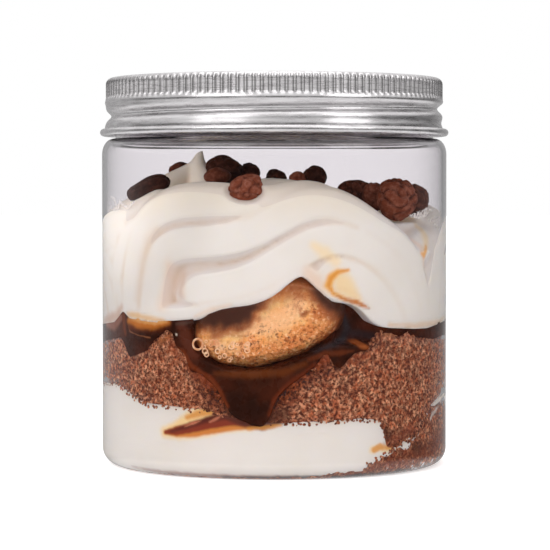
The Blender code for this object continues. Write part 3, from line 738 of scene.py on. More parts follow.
for piece, node in ((sponge, "sponge"), (offcut, "sponge_offcut")):
    shape = points_of(piece)
    turn = round_jar(shape)[0]
    run = smear_distance(turn, shape[:, 2], SOAK)
    soaked = 1.1 * np.exp(-((run / (3.0 * MM)) ** 2)) + 0.3 * grain(shape, 5 * MM)
    under = np.clip(sponge_line(turn) - shape[:, 2], 0, None)
    top = np.exp(-under / (0.8 * MM)) * 0.8 * (np.abs(turn) < 40)
    paint_points(piece, "wet", np.clip(np.maximum(soaked, top), 0.0, 1.0))
    stain(piece, (
        (BARK, 0.75, 1.3, 2.0, ((-14, 13.6), (-8, 12.4), (-2, 12.6), (3, 13.0))),
        (RUST, 0.5, 1.3, 1.6, ((-34.5, 25.6), (-30.5, 25.0), (-27.5, 22.6), (-24.5, 20.8), (-20.5, 19.0))),
        (screen(190, 110, 56), 0.7, 1.0, 1.2, ((-40, 27.0), (-38, 28.0), (-36.5, 28.8))),
        (RUST, 0.6, 0.9, 1.4, ((13, 23.2), (18, 24.2), (24, 24.2), (30, 25.0))),
        (BARK, 0.8, 0.9, 1.0, ((20, 23.6), (21, 22.6))),
        (screen(200, 128, 82), 0.6, 0.8, 0.8, ((38.5, 28.6), (41.5, 28.4))),
        (screen(190, 112, 76), 0.6, 0.7, 0.8, ((48, 28.6), (50.5, 28.3))),
        (screen(146, 70, 38), 0.6, 1.6, 2.0, ((33, 5.4), (38, 6.4), (44, 7.0), (50, 8.4))),
        (screen(134, 62, 34), 0.65, 1.6, 2.4, ((24, 1.6), (38, 2.6), (50, 3.4), (66, 5.0), (80, 7.0))),
        # Painted shade: dark lines along the floor and up the right heel, in place of the dark edge seen
        # through the jar's heel.
        (screen(52, 24, 16), 0.9, 0.2, 0.6, ((20, 0.8), (40, 1.0), (60, 1.2), (80, 2.2))),
        (screen(70, 34, 24), 0.6, 0.4, 3.0, ((78, 11.0, 0.2), (83, 7.0, 0.6), (86, 3.4, 0.4))),
        (BARK, 0.7, 1.2, 1.2, ((38.5, 8.9), (39.5, 8.2))),
        (BARK, 0.6, 1.3, 1.4, ((52.5, 5.7), (55, 5.2))),
        (CURD, 0.95, 0.1, 0.3,
         ((82.4, 18.4, 0.1), (80.6, 17.2, 0.5), (77.8, 16.2, 0.3), (76, 15.0, 0.6), (73.5, 13.6, 0.2))),
        (CURD, 0.9, 0.1, 0.3, ((70, 12.6, 0.1), (67, 11.8, 0.3), (64.6, 11.4, 0.5), (63, 10.4, 0.2))),
        (CURD, 0.9, 0.1, 0.3, ((55, 8.2, 0.1), (53.2, 7.0, 0.35), (51, 6.6, 0.1))),
    ), 0.5 * MM)
    piece.data.materials.append(cocoa)
    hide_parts(node)
    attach(piece, "root")


# --- Ladyfinger --------------------------------------------------------------------------------
# Half a sponge finger, soaked at its edges, with painted shade on its top under the cream and round its rim.
# Its round end is pressed on the front wall, and its crust is smooth above and full of open pores below.
biscuit_low, biscuit_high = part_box("ladyfinger")
BISCUIT_MIDDLE = Vector((-0.9 * MM, 0.0, 31.2 * MM))
BISCUIT_TILT = math.radians(15.4)
BISCUIT_HALF_WIDTH = 15.8 * MM  # these three are of the face that shows
BISCUIT_RISE = 9.8 * MM
BISCUIT_DROP = 8.9 * MM
BURIED = 1.15  # the whole of it is this much wider and taller than the face
cream_foot = outline((-180, 30.4), (-130, 30.6), (-86, 28.8), (-79.5, 29.4), (-72, 29.8), (-65.5, 30.2),
                     (-61.5, 31.6), (-59, 32.7), (-57, 32.0), (-55, 31.3), (-47.8, 30.9), (-40, 30.7),
                     (-32.3, 31.0), (-28.5, 31.2), (-24.5, 31.6), (-21, 32.6), (-17.5, 33.4), (-13, 33.9),
                     (-8.4, 34.2), (-4, 35.0), (-0.9, 35.9), (2, 37.2), (4.5, 38.7), (7, 39.8), (8.7, 40.2),
                     (10.3, 39.7), (12.5, 38.4), (15, 36.8), (17.5, 35.5), (20, 35.0), (25, 34.6),
                     (28.1, 33.7), (30, 32.7), (32.5, 31.2), (36, 30.0), (41, 29.6), (51.8, 29.2),
                     (60, 29.1), (66, 29.5), (74, 29.9), (82, 30.1), (110, 30.6), (140, 30.2), soften=0.6)


def biscuit_clearance(turn, z):
    """How far outside the ladyfinger's visible outline a wall point lies, about in metres."""
    flat = INSIDE * np.sin(np.radians(turn)) - BISCUIT_MIDDLE.x
    rise = z - BISCUIT_MIDDLE.z
    across = flat * math.cos(BISCUIT_TILT) + rise * math.sin(BISCUIT_TILT)
    up = -flat * math.sin(BISCUIT_TILT) + rise * math.cos(BISCUIT_TILT)
    tall = np.where(up > 0, BISCUIT_RISE, BISCUIT_DROP)
    share = np.sqrt((across / BISCUIT_HALF_WIDTH) ** 2 + (up / tall) ** 2)
    away = (share - 1.0) * np.minimum(BISCUIT_HALF_WIDTH, 10 * MM)
    return np.where(np.abs(turn) < 60, away, 1.0)


bpy.ops.object.select_all(action="DESELECT")
bpy.ops.mesh.primitive_uv_sphere_add(segments=260, ring_count=150, radius=1.0, rotation=(math.pi / 2, 0, 0))
biscuit = bpy.context.object
biscuit.name = "ladyfinger_end"
bpy.ops.object.transform_apply(rotation=True)
ball = points_of(biscuit)
length = (biscuit_high.y - biscuit_low.y) / 2 + 1.9 * MM
ball = np.sign(ball) * np.abs(ball) ** np.array([0.94, 0.8, 0.92])
across, along, up = ball.T
across = across * BURIED * BISCUIT_HALF_WIDTH
up = up * BURIED * np.where(up > 0, BISCUIT_RISE, BISCUIT_DROP)
placed = np.stack([
    BISCUIT_MIDDLE.x + across * math.cos(BISCUIT_TILT) - up * math.sin(BISCUIT_TILT),
    biscuit_high.y - length + along * length,
    BISCUIT_MIDDLE.z + across * math.sin(BISCUIT_TILT) + up * math.cos(BISCUIT_TILT),
], axis=-1)
move_points(biscuit, placed)
normals = np.array([v.normal for v in biscuit.data.vertices])
low_share = smooth_step(-(up + 0.12 * across) / BISCUIT_DROP + 0.5 * grain(placed, 7 * MM), -0.15, 0.55)
pits = np.clip(0.34 - cells(placed, 1.3 * MM), 0, 1) / 0.34
small_pits = np.clip(0.42 - cells(placed, 0.75 * MM, 5.0), 0, 1) / 0.42
lumps = grain(placed, 5.0 * MM) * 0.35 + grain(placed, 2.2 * MM) * 0.16
dip = (0.8 * pits + 0.35 * small_pits) * (0.15 + 0.85 * low_share)
placed += normals * (MM * (lumps - dip))[:, None]
turn = round_jar(placed)[0]
behind_cream = 3.5 * MM * smooth_step(placed[:, 2] - cream_foot(turn), 0.1 * MM, 1.6 * MM)
hold_inside(placed, INSIDE + SINK + 0.04 * MM - behind_cream)
move_points(biscuit, placed)
bpy.ops.object.shade_smooth()
crust_top = outline((-40, 29.0), (-28.5, 29.8), (-23, 30.5), (-19.5, 30.9), (-15, 30.6), (-11, 31.2),
                    (-8.5, 32.2), (-6, 34.0), (-3, 35.1), (0, 36.1), (5, 37.3), (8.5, 37.7), (11.5, 37.1),
                    (15, 35.9), (17.5, 34.7), (20.5, 33.9), (23.5, 31.9), (40, 29.0))
# The soaked share is syrup soaked into the edges and also painted shade: darkest on the top that the cream
# shades, round the rim where the end curves away, and on the parts set back from the wall.
edge = placed[:, 2] - crust_top(turn) + MM * (1.4 * grain(placed, 4 * MM) + 0.8 * grain(placed, 1.4 * MM))
rim = biscuit_clearance(turn, placed[:, 2]) + 0.4 * MM * grain(placed, 1.6 * MM)
dark_side = 1 - 0.5 * smooth_step(turn, -7, 0) * (1 - smooth_step(turn, 10, 15))
soaked = np.maximum(smooth_step(edge, -4.6 * MM, 1.4 * MM) * dark_side,
                    smooth_step(rim, -1.3 * MM, 0.3 * MM) * 0.9)
browned = np.maximum(smooth_step(turn, -1, 13), 0.95 * low_share) * (0.7 + 0.5 * grain(placed, 3 * MM, 9.0))
soaked = np.maximum(soaked, smooth_step(placed[:, 1], -31 * MM, -29 * MM))
holes = 1.1 * pits + small_pits + 0.4 * grain(placed, 4 * MM)
pores = smooth_step(holes, 0.35, 0.8) * (0.1 + 0.9 * low_share)
# Painted shade in the open pores: the pits attribute darkens them.
paint_points(biscuit, "pits", np.clip(pores, 0, 1))
paint_points(biscuit, "soaked", soaked)
paint_points(biscuit, "crust", np.clip(browned, 0, 1))
TOASTED, SOAKED = screen(214, 132, 68), screen(138, 66, 24)
stain(biscuit, (
    (screen(250, 198, 146), 0.85, 0.6, 2.6,
     ((-8, 29.6, 0.4), (-3, 30.6, 1.2), (3, 32.0, 1.6), (8, 34.4, 1.0))),
    (screen(248, 190, 132), 0.7, 0.2, 1.2,
     ((-21, 26.6, 0.4), (-15, 26.0, 0.8), (-10, 26.2, 0.5), (-5, 27.2, 0.3))),
    (TOASTED, 0.6, 0.8, 2.4,
     ((-26, 26.6, 0.3), (-19, 24.2, 0.8), (-11, 23.8, 1.0), (-3, 24.8, 1.4), (6, 27.0, 1.4),
      (13, 29.0, 1.6), (20, 32.0, 1.8), (22, 35.5, 1.6))),
    (screen(196, 104, 44), 0.7, 0.6, 1.6, ((13, 32.6, 0.2), (18, 34.0, 1.2), (22, 35.0, 1.0))),
    (SOAKED, 0.9, 0.5, 1.4,
     ((-26.5, 25.4), (-24, 24.0), (-19, 22.4), (-11, 21.6), (-4, 21.7), (5, 23.6), (12, 25.8), (18, 28.6),
      (22.5, 32.0), (24.2, 35.4))),
    (RUST, 0.5, 0.0, 1.0,
     ((-22, 28.0, 0.1), (-19.5, 28.2, 0.3), (-15, 28.8, 0.5), (-11.5, 28.4, 0.4), (-8, 28.6, 0.1))),
    (RUST, 0.6, 0.0, 1.2, ((6.4, 34.6, 0.1), (8, 33.6, 0.5), (9.4, 32.6, 0.2))),
    (SOAKED, 0.8, 0.0, 0.8, ((8.6, 32.6, 0.3), (10, 33.0, 0.5), (11.4, 33.4, 0.2))),
    (screen(246, 196, 146), 0.8, 0.2, 0.3,
     ((-23, 26.7), (-23.5, 26.0), (-25, 25.6), (-26.5, 25.9), (-27, 26.7), (-26.5, 27.5), (-25, 27.8),
      (-23.5, 27.5), (-23, 26.7))),
    # Painted highlights: pale spots on the lower left.
    (screen(250, 204, 156), 0.8, 0.7, 0.8, ((-18.5, 27.0), (-17, 26.2))),
    (screen(248, 192, 130), 0.6, 0.5, 0.8, ((-16.5, 24.3), (-13.5, 23.9))),
    # Painted highlights: pale lines along the lower rim, where it meets the syrup.
    (screen(242, 206, 170), 0.8, 0.0, 0.3,
     ((-20.5, 23.3, 0.05), (-17, 22.5, 0.2), (-12, 22.1, 0.2), (-8, 22.0, 0.05))),
    (screen(242, 206, 170), 0.7, 0.0, 0.3, ((-5, 22.1, 0.05), (-3.5, 22.2, 0.14), (-1.5, 22.2, 0.05))),
), 0.35 * MM)

material, shader, place = new_material("biscuit", Subsurface_Weight=0.15, Subsurface_Scale=0.001)
tan = place.noise(420.0, 4.0).step(0.3, 0.7)
gold = place.noise(900.0, 3.0).step(0.4, 0.6)
flecks = place.noise(1500.0, 3.0, 0.7)
toasted = painted(place, "crust")
crust = colour_mix(tan, screen(252, 178, 96), screen(255, 220, 150))
crust = colour_mix(toasted * 0.4, crust, screen(240, 136, 44))
crust = colour_mix(toasted * gold * 0.8, crust, screen(216, 106, 30))
crust = stained(place, crust)
crust = colour_mix(flecks.step(0.55, 0.61) * (toasted * 0.9 + 0.06), crust, screen(138, 58, 16))
crust = colour_mix(flecks.step(0.44, 0.36) * 0.7, crust, screen(255, 216, 166))
# Painted shade in the pits.
crust = colour_mix(painted(place, "pits"), crust, screen(104, 42, 12))
# Soaked syrup and painted shade together: dark on the top under the cream and round the rim.
wet = painted(place, "soaked")
crust = colour_mix(wet.step(0.0, 0.55) * (0.7 + flecks * 0.5), crust, screen(166, 88, 40))
crust = colour_mix(wet.step(0.3, 0.95), crust, screen(70, 32, 14))
feed(shader, "Base Color", crust)
feed(shader, "Roughness", 0.62 - wet * 0.3)
feed(shader, "Normal", bump(place.noise(1500.0, 4.0), 0.12 * MM, 0.6))
biscuit.data.materials.append(material)
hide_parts("ladyfinger")
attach(biscuit, "root")


# --- Coffee syrup ------------------------------------------------------------------------------
# Thick coffee syrup pooled between sponge and cream, almost black where it is deep. It stands back
# from the wall round the ladyfinger, and has run down the wall into the cream below.
syrup = fill_between("coffee_syrup_pool", ragged(sponge_line, 0.2 * MM, 21.0),
                     lambda t: cream_foot(t) + 0.3 * MM, 56, sink=SINK + 0.1 * MM,
                     middle=(25 * MM, 29.5 * MM))
shape = points_of(syrup)
turn, reach = round_jar(shape)
away = biscuit_clearance(turn, shape[:, 2])
on_wall = reach > 30 * MM
hollow = 7.5 * MM * (1 - smooth_step(away, -1.3 * MM, 0.15 * MM))
recess = smooth_step(turn, 17, 22) * (1 - smooth_step(turn, 32, 38))
recess *= smooth_step(shape[:, 2], 26.2 * MM, 27.6 * MM)
hollow = np.maximum(hollow, 2.6 * MM * recess)
shape[:, :2] *= (1.0 - (hollow * on_wall) / np.maximum(reach, 1e-3))[:, None]
move_points(syrup, shape)
stain(syrup, (
    (screen(150, 98, 80), 0.85, 0.3, 1.2, ((-74, 29.6, 0.5), (-66, 29.8, 1.0), (-61, 31.2, 0.6))),
    (screen(112, 50, 14), 0.9, 0.2, 0.7, ((-58.7, 32.7, 0.5), (-58.4, 30, 0.4), (-57.5, 28, 0.1))),
    (screen(112, 54, 22), 0.9, 0.3, 1.6,
     ((-54.6, 29.6, 0.3), (-50, 30.0, 0.9), (-43, 30.0, 0.8), (-36, 30.5, 0.2))),
    (screen(196, 116, 44), 0.95, 0.2, 1.2,
     ((-55.4, 30.7, 0.3), (-50, 30.5, 0.9), (-43, 30.3, 0.8), (-36, 30.8, 0.1))),
    (screen(228, 172, 106), 0.85, 0.1, 0.9,
     ((-55, 31.4, 0.2), (-48, 31.0, 0.45), (-42, 30.8, 0.45), (-37, 31.0, 0.1))),
    (screen(150, 92, 58), 0.8, 0.0, 0.2,
     ((-55.6, 29.8, 0.05), (-54.5, 28.6, 0.14), (-50.5, 28.0, 0.16), (-44, 27.6, 0.1))),
    (screen(96, 48, 32), 0.8, 1.0, 1.6, ((-31, 29.8, 0.1), (-29, 27.4, 0.5), (-26.5, 24.6, 0.1))),
    # Painted sheen: a grey-brown sheen at the top of the pool left of the ladyfinger.
    (screen(92, 70, 62), 0.6, 0.1, 0.8, ((-33, 30.6, 0.1), (-30, 30.8, 0.3), (-25.5, 31.2, 0.1))),
    (screen(112, 56, 20), 0.75, 0.2, 1.2,
     ((-19, 21.0, 0.1), (-8, 20.9, 0.6), (3, 21.4, 0.5), (10, 23.0, 0.2))),
    # Painted sheen: this stroke and the next are grey reflections in the recess right of the ladyfinger.
    (screen(48, 46, 50), 0.8, 0.1, 1.0,
     ((24, 33.4, 0.2), (26, 29.6, 0.7), (24, 27.6, 0.5), (18.5, 26.6, 0.4), (13, 25.4, 0.1))),
    (screen(46, 34, 36), 0.8, 0.4, 1.2, ((26, 29.0, 0.2), (31, 28.6, 0.5), (37, 27.9, 0.1))),
    (screen(104, 48, 22), 0.9, 0.1, 0.7,
     ((11, 23.8, 0.2), (16.5, 25.0, 0.5), (21.5, 25.0, 0.4), (26, 25.4, 0.1))),
    (screen(160, 84, 38), 0.95, 0.1, 0.8, ((26.5, 27.0, 0.2), (29, 26.6, 0.7), (31, 25.9, 0.3))),
    (screen(126, 56, 26), 0.8, 0.1, 0.8,
     ((-34.5, 26.2, 0.2), (-30.5, 25.0, 0.4), (-27.5, 22.4, 0.4), (-24.5, 21.4, 0.3), (-20.8, 20.2, 0.4),
      (-17.4, 17.6, 0.3), (-15, 14.6, 0.2))),
    (screen(112, 46, 20), 0.8, 0.1, 0.8,
     ((-1.5, 13, 0.2), (0, 16, 0.4), (4, 18.8, 0.3), (9, 21.0, 0.3), (13, 23, 0.2))),
    # Painted highlight: one small glint.
    (screen(236, 220, 200), 0.9, 0.3, 0.2, ((-33, 28.4), (-32.9, 28.5))),
), 0.3 * MM)

material, shader, place = new_material("coffee_syrup", Specular_IOR_Level=0.12)
murk = place.noise(160.0, 3.0).step(0.3, 0.7)
feed(shader, "Base Color", stained(place, colour_mix(murk, screen(46, 19, 9), screen(78, 33, 15))))
feed(shader, "Roughness", 0.2 + place.noise(500.0, 3.0) * 0.15)
feed(shader, "Normal", bump(place.noise(240.0, 3.0), 0.2 * MM, 0.4))
syrup.data.materials.append(material)
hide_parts("coffee_syrup")
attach(syrup, "root")


# --- Piped cream -------------------------------------------------------------------------------
# Whipped cream piped through a star nozzle: a fluted rope in three arches round the wall, wound in
# on top and pulled up to a tip. Flutes are laid as tubes, made one skin and flattened on the wall.
ARCHES = ((0.0, 0.0), (121.0, 4.5), (-119.0, 4.5))  # (middle, how much lower than the front one in mm)
FLUTES = (  # (thickness, path), and a path is (angle, height, distance of its middle from the wall)
    (4.6, ((-57, 24, 3.2), (-56, 31, 3.2), (-54.5, 36, 3.2), (-53, 42, 3.2), (-50, 48, 3.2),
           (-44, 52.3, 3.3), (-34, 54.2, 3.4), (-22, 54.4, 3.5), (-10, 53.6, 4.0), (0, 53.6, 4.5),
           (10, 54.9, 5.5), (20, 54.3, 7), (30, 51.6, 9))),
    (4.5, ((-46, 24, 3.3), (-45, 31, 3.3), (-44, 35, 3.2), (-43, 40, 3.1), (-40, 44.5, 3.1),
           (-33, 46.6, 3.0), (-22, 46.8, 3.0), (-12, 47.5, 3.0), (-3, 50, 3.1), (5, 52.8, 3.3),
           (12, 54.0, 3.6), (20, 53.6, 3.8), (28, 51.6, 3.8), (35, 49.2, 3.8), (43, 46.8, 3.6),
           (50, 44.4, 3.6), (56, 39, 3.6), (60, 32, 3.6), (61, 24, 3.6))),
    (4.5, ((-32, 35.6, 4.6), (-28.5, 37.2, 3.5), (-22, 37.6, 3.0), (-12, 38.3, 3.0), (-5, 40, 3.0),
           (2, 42.6, 3.0), (9, 45.4, 3.0), (16, 47.4, 3.0), (25, 47.4, 3.1), (34, 45, 3.2), (42, 41.5, 3.2),
           (48, 37, 3.2), (52, 33, 3.2), (54, 29, 3.2), (54.5, 23, 3.2))),
    (4.4, ((12, 39.4, 4.4), (17, 40.6, 3.4), (22, 40.8, 3.0), (28, 39.8, 3.0), (34, 37.2, 3.0),
           (38, 34.6, 3.0), (42, 31, 3.0), (44, 28, 3.0), (44.5, 23, 3.0))),
)
FILLERS = (  # the next arches' shoulders, which close the ring at both sides
    (4.6, ((-100, 44, 4.2), (-90, 48.0, 4.0), (-80, 49.4, 3.8), (-71, 50.4, 3.8), (-63, 51.4, 4.0),
           (-55, 52.4, 4.4), (-46, 53, 5.2))),
    (4.4, ((-96, 38, 3.6), (-84, 42.6, 3.6), (-72, 43.8, 3.6), (-63, 44.6, 3.8))),
    (3.6, ((-30, 53.6, 9.0), (-20, 55, 10), (-9, 56, 10.6), (5, 56, 11), (14, 55.2, 11.4),
           (24, 53.8, 11.6))),
    (4.2, ((-84, 45.0, 3.4), (-74, 46.2, 3.4), (-64, 47.4, 3.4))),
    (4.0, ((-74, 47.6, 3.2), (-66, 48.6, 3.2), (-58, 49.8, 3.2))),
    (4.2, ((-67, 24, 3.2), (-66.5, 31, 3.2), (-65.5, 38, 3.2), (-62, 45.5, 3.2), (-56, 48.5, 3.4),
           (-50, 50.5, 3.8))),
    (4.2, ((28, 49.4, 3.5), (36, 47.0, 3.4), (44, 44.0, 3.4), (50, 40.4, 3.4), (54.5, 36, 3.4),
           (57, 30, 3.4), (57.8, 24, 3.4))),
    (4.0, ((45.5, 35.5, 3.8), (48, 31.5, 3.5), (49.5, 27, 3.4), (49.8, 23, 3.4))),
    (4.4, ((55, 43.0, 4.0), (64, 45.6, 4.0), (76, 46.6, 4.2), (90, 46.6, 4.4))),
    (3.6, ((-33, 37.4, 5.0), (-31.5, 40.6, 4.8), (-27.5, 42.0, 4.8), (-20, 42.4, 5.0))),
)
PEAK = Vector((-15.5 * MM, 2.0 * MM, 65.7 * MM))
DENTS = ((-5.6, 58.0, 4.4, 3.4, 3.2),)  # (x, z, half width, half height, depth in mm) of a pressed place


def rope(name, path, thickness):
    """A round tube of mesh along points in metres, with a thickness at each."""
    curve = bpy.data.curves.new(name, "CURVE")
    curve.dimensions = "3D"
    curve.bevel_depth = 1.0
    curve.bevel_resolution = 4
    curve.resolution_u = 8
    curve.use_fill_caps = True
    spline = curve.splines.new("NURBS")
    spline.points.add(len(path) - 1)
    spline.order_u = 4
    spline.use_endpoint_u = True
    for point, place, radius in zip(spline.points, path, thickness):
        point.co = (*place, 1.0)
        point.radius = radius
    obj = bpy.data.objects.new(name, curve)
    bpy.context.scene.collection.objects.link(obj)
    bpy.ops.object.select_all(action="DESELECT")
    obj.select_set(True)
    bpy.context.view_layer.objects.active = obj
    bpy.ops.object.convert(target="MESH")
    return bpy.context.object


strands = []
for middle, lower in ARCHES:
    for thickness, path in FLUTES:
        line = [at(angle + middle, INSIDE - inset * MM, (z - lower * float(smooth_step(z, 34, 48))) * MM)
                for angle, z, inset in path]
        sizes = [thickness * MM] * len(line)
        sizes[0] = sizes[-1] = 0.8 * thickness * MM
        strands.append(rope("flute", line, sizes))
for thickness, path in FILLERS:
    line = [at(angle, INSIDE - inset * MM, z * MM) for angle, z, inset in path]
    strands.append(rope("flute", line, [thickness * MM] * len(line)))
TOP_TURNS, TOP_START, TOP_STEPS = 1.75, 70, 42  # laps, the angle where it starts, and points along it
TOP_WIDE, TOP_NARROW, TOP_FOOT, TOP_CLIMB = 25.5, 3.0, 50.0, 4.3  # its radius at both ends, and heights in mm
TOP_FLUTES = ((-3.6, 0.0, 3.4), (0.0, 1.3, 3.6), (3.6, 0.0, 3.4))  # (outwards, upwards, thickness)
for outwards, upwards, thickness in TOP_FLUTES:
    line = []
    for step in range(TOP_STEPS + 1):
        share = step / TOP_STEPS
        angle = math.radians(TOP_START + 360 * TOP_TURNS * share)
        wide = (TOP_WIDE * (1 - share) + TOP_NARROW * share) * MM + outwards * MM * (1 - 0.75 * share)
        centre = Vector((PEAK.x * share**3, PEAK.y * share, (TOP_FOOT + TOP_CLIMB * share + upwards) * MM))
        line.append(centre + Vector((wide * math.sin(angle), -wide * math.cos(angle), 0.0)))
    strands.append(rope("flute", line, [thickness * MM] * len(line)))
TIP_PULL = (  # (from the peak in x, y and z, thickness in mm): the pulled tip, and the ridge at its left
    ((2.2, 0.6, -12, 8.0), (1.8, 0.4, -9.5, 6.4), (0.6, 0, -6.5, 3.9), (-0.5, 0, -4.2, 2.4),
     (-0.5, 0, -2.2, 1.4), (0.0, 0, -0.8, 0.8), (0.3, 0, 0, 0.3)),
    ((-11, -3, -10.5, 3.4), (-7, -1.5, -8, 2.9), (-3, 0, -5, 1.7), (-0.8, 0, -2.6, 0.8)),
)
for pull in TIP_PULL:
    line = [PEAK + Vector((x * MM, y * MM, z * MM)) for x, y, z, thickness in pull]
    strands.append(rope("flute", line, [thickness * MM for x, y, z, thickness in pull]))
brim = [at(angle, INSIDE - 2.0 * MM, cream_foot(angle) + 1.4 * MM) for angle in range(-180, 181, 3)]
strands.append(rope("brim", brim, [2.5 * MM] * len(brim)))

CORE_FOOT, CORE_HEAD, CORE_INSET = 26.0 * MM, 50.5 * MM, 4.0 * MM  # a plain core inside the flutes
swirl, turn, share, height = drum("piped_cream", 120, 8, 8)
move_points(swirl, at(turn, share * (INSIDE - CORE_INSET), CORE_FOOT + (CORE_HEAD - CORE_FOOT) * height))
for strand in strands:
    strand.select_set(True)
swirl.select_set(True)
bpy.context.view_layer.objects.active = swirl
bpy.ops.object.join()
skin = swirl.modifiers.new("skin", "REMESH")
skin.mode = "VOXEL"
skin.voxel_size = 0.5 * MM
bpy.ops.object.modifier_apply(modifier="skin")
melt = swirl.modifiers.new("melt", "SMOOTH")
melt.factor = 0.5
melt.iterations = 6
bpy.ops.object.modifier_apply(modifier="melt")


def hollows(obj, passes):
    """How deep each point lies in a fold, in metres: how far smoothing would lift it along its normal."""
    points = points_of(obj)
    ends = np.empty(len(obj.data.edges) * 2, dtype=np.int64)
    obj.data.edges.foreach_get("vertices", ends)
    first, second = ends.reshape(-1, 2).T
    count = np.bincount(ends, minlength=len(points))[:, None]
    smooth = points.copy()
    for step in range(passes):
        total = np.zeros_like(smooth)
        for axis in range(3):
            total[:, axis] = (np.bincount(first, smooth[second, axis], len(points))
                              + np.bincount(second, smooth[first, axis], len(points)))
        smooth = 0.5 * smooth + 0.5 * total / count
    normals = np.empty(len(points) * 3)
    obj.data.vertices.foreach_get("normal", normals)
    return ((smooth - points) * normals.reshape(-1, 3)).sum(axis=1)


fold = hollows(swirl, 24)
shape = points_of(swirl)
turn = round_jar(shape)[0]
limit = INSIDE + SINK + 0.12 * MM
for across, up, wide, tall, depth in DENTS:
    off = np.hypot((shape[:, 0] - across * MM) / (wide * MM), (shape[:, 2] - up * MM) / (tall * MM))
    limit = limit - depth * MM * (1 - smooth_step(off, 0.7, 1.2)) * (shape[:, 1] < 0)
reach = round_jar(shape)[1]
hold_inside(shape, limit)
shape[:, 2] = np.maximum(shape[:, 2],
                         cream_foot(turn) - 2 * MM * smooth_step(INSIDE - reach, 2 * MM, 9 * MM))
move_points(swirl, shape)
bpy.ops.object.shade_smooth()
PEACH = screen(236, 204, 176)
stain(swirl, (
    (HONEY, 0.7, 0.4, 2.2, ((20, 40.4, 0.4), (22.5, 38.6, 1.6), (25, 37.0, 1.2), (27.5, 35.6, 0.3))),
    (PEACH, 0.6, 0.6, 2.4, ((11, 41.0, 0.6), (13.5, 38.8, 1.0), (15.5, 37.0, 0.4))),
    (screen(246, 220, 172), 0.7, 0.3, 2.0, ((12.5, 46.2, 0.4), (16, 44.8, 0.9), (20, 43.0, 0.6))),
    (screen(240, 176, 60), 0.9, 0.0, 1.0,
     ((24.4, 41.3, 0.2), (20.6, 41.0, 0.6), (18.2, 39.8, 0.9), (17.4, 38.4, 0.8), (18.8, 36.8, 0.5),
      (22.7, 35.8, 0.4))),
    (AMBER, 0.9, 0.0, 0.6,
     ((24.2, 41.4, 0.15), (20.4, 40.9, 0.3), (18.2, 39.7, 0.4), (17.5, 38.4, 0.3), (19, 36.7, 0.2))),
    (screen(200, 118, 36), 0.95, 0.0, 0.6,
     ((19.5, 36.6, 0.1), (22.7, 35.6, 0.4), (26.9, 35.0, 0.5), (29.5, 34.3, 0.45), (32, 33.7, 0.1))),
    (PEACH, 0.6, 0.1, 1.4, ((54, 48.0, 0.1), (57, 45.6, 0.5), (58, 42.0, 0.2))),
    (screen(240, 216, 170), 0.8, 0.1, 1.4,
     ((58, 44.4, 0.3), (61.5, 46.4, 0.7), (66, 49.4, 0.4), (70, 51.4, 0.1))),
    (screen(236, 172, 96), 0.9, 0.1, 0.7, ((56.2, 44.4, 0.2), (58, 43.8, 0.5), (60.4, 45.6, 0.25))),
    (screen(228, 190, 150), 0.7, 0.2, 1.2,
     ((40, 30.3, 0.1), (52, 29.8, 0.3), (67, 30.0, 0.3), (80, 30.8, 0.1))),
    # Painted shade: the warm hollow at the left end of the groove between the second and third flutes.
    (screen(222, 190, 162), 0.6, 0.6, 2.4, ((-31.8, 40.3, 0.2), (-31.6, 38.4, 0.6), (-31.4, 36.6, 0.2))),
    (PEACH, 0.5, 0.8, 3.0, ((-36, 42, 0.3), (-36, 38.2, 0.7), (-39, 34.4, 0.3))),
    (PEACH, 0.6, 0.1, 1.2, ((-26, 32.2, 0.1), (-20.5, 33.6, 0.4), (-14, 34.6, 0.1))),
    (screen(206, 168, 146), 0.75, 0.4, 1.8,
     ((-80, 29.8, 0.2), (-71, 30.6, 0.7), (-63, 31.6, 0.6), (-60, 33.4, 0.1))),
    (screen(232, 190, 136), 0.85, 0.2, 1.0,
     ((-56, 32.0, 0.2), (-52, 31.9, 0.5), (-46, 31.5, 0.4), (-38, 31.2, 0.1))),
    # Painted shade down the groove between the first and second flutes at the left.
    (screen(222, 198, 174), 0.4, 0.5, 2.8,
     ((-50.5, 35.4, 0.2), (-49, 39.0, 0.5), (-47.5, 42.7, 0.5), (-45, 47.1, 0.5), (-41.5, 49.1, 0.1))),
), 0.3 * MM)
# Painted shade in the folds: deeper hollows get more of it, less on the smooth flutes at the lower right.
calm = smooth_step(turn, 30, 42) * (1 - smooth_step(shape[:, 2], 40 * MM, 47 * MM)) * (np.abs(turn) < 90)
paint_points(swirl, "fold", np.clip(fold / (0.8 * MM), 0, 1) * (1 - 0.6 * calm))
swirl.data.materials.clear()
swirl.data.materials.append(cream)
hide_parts("cream_swirl")
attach(swirl, "root")


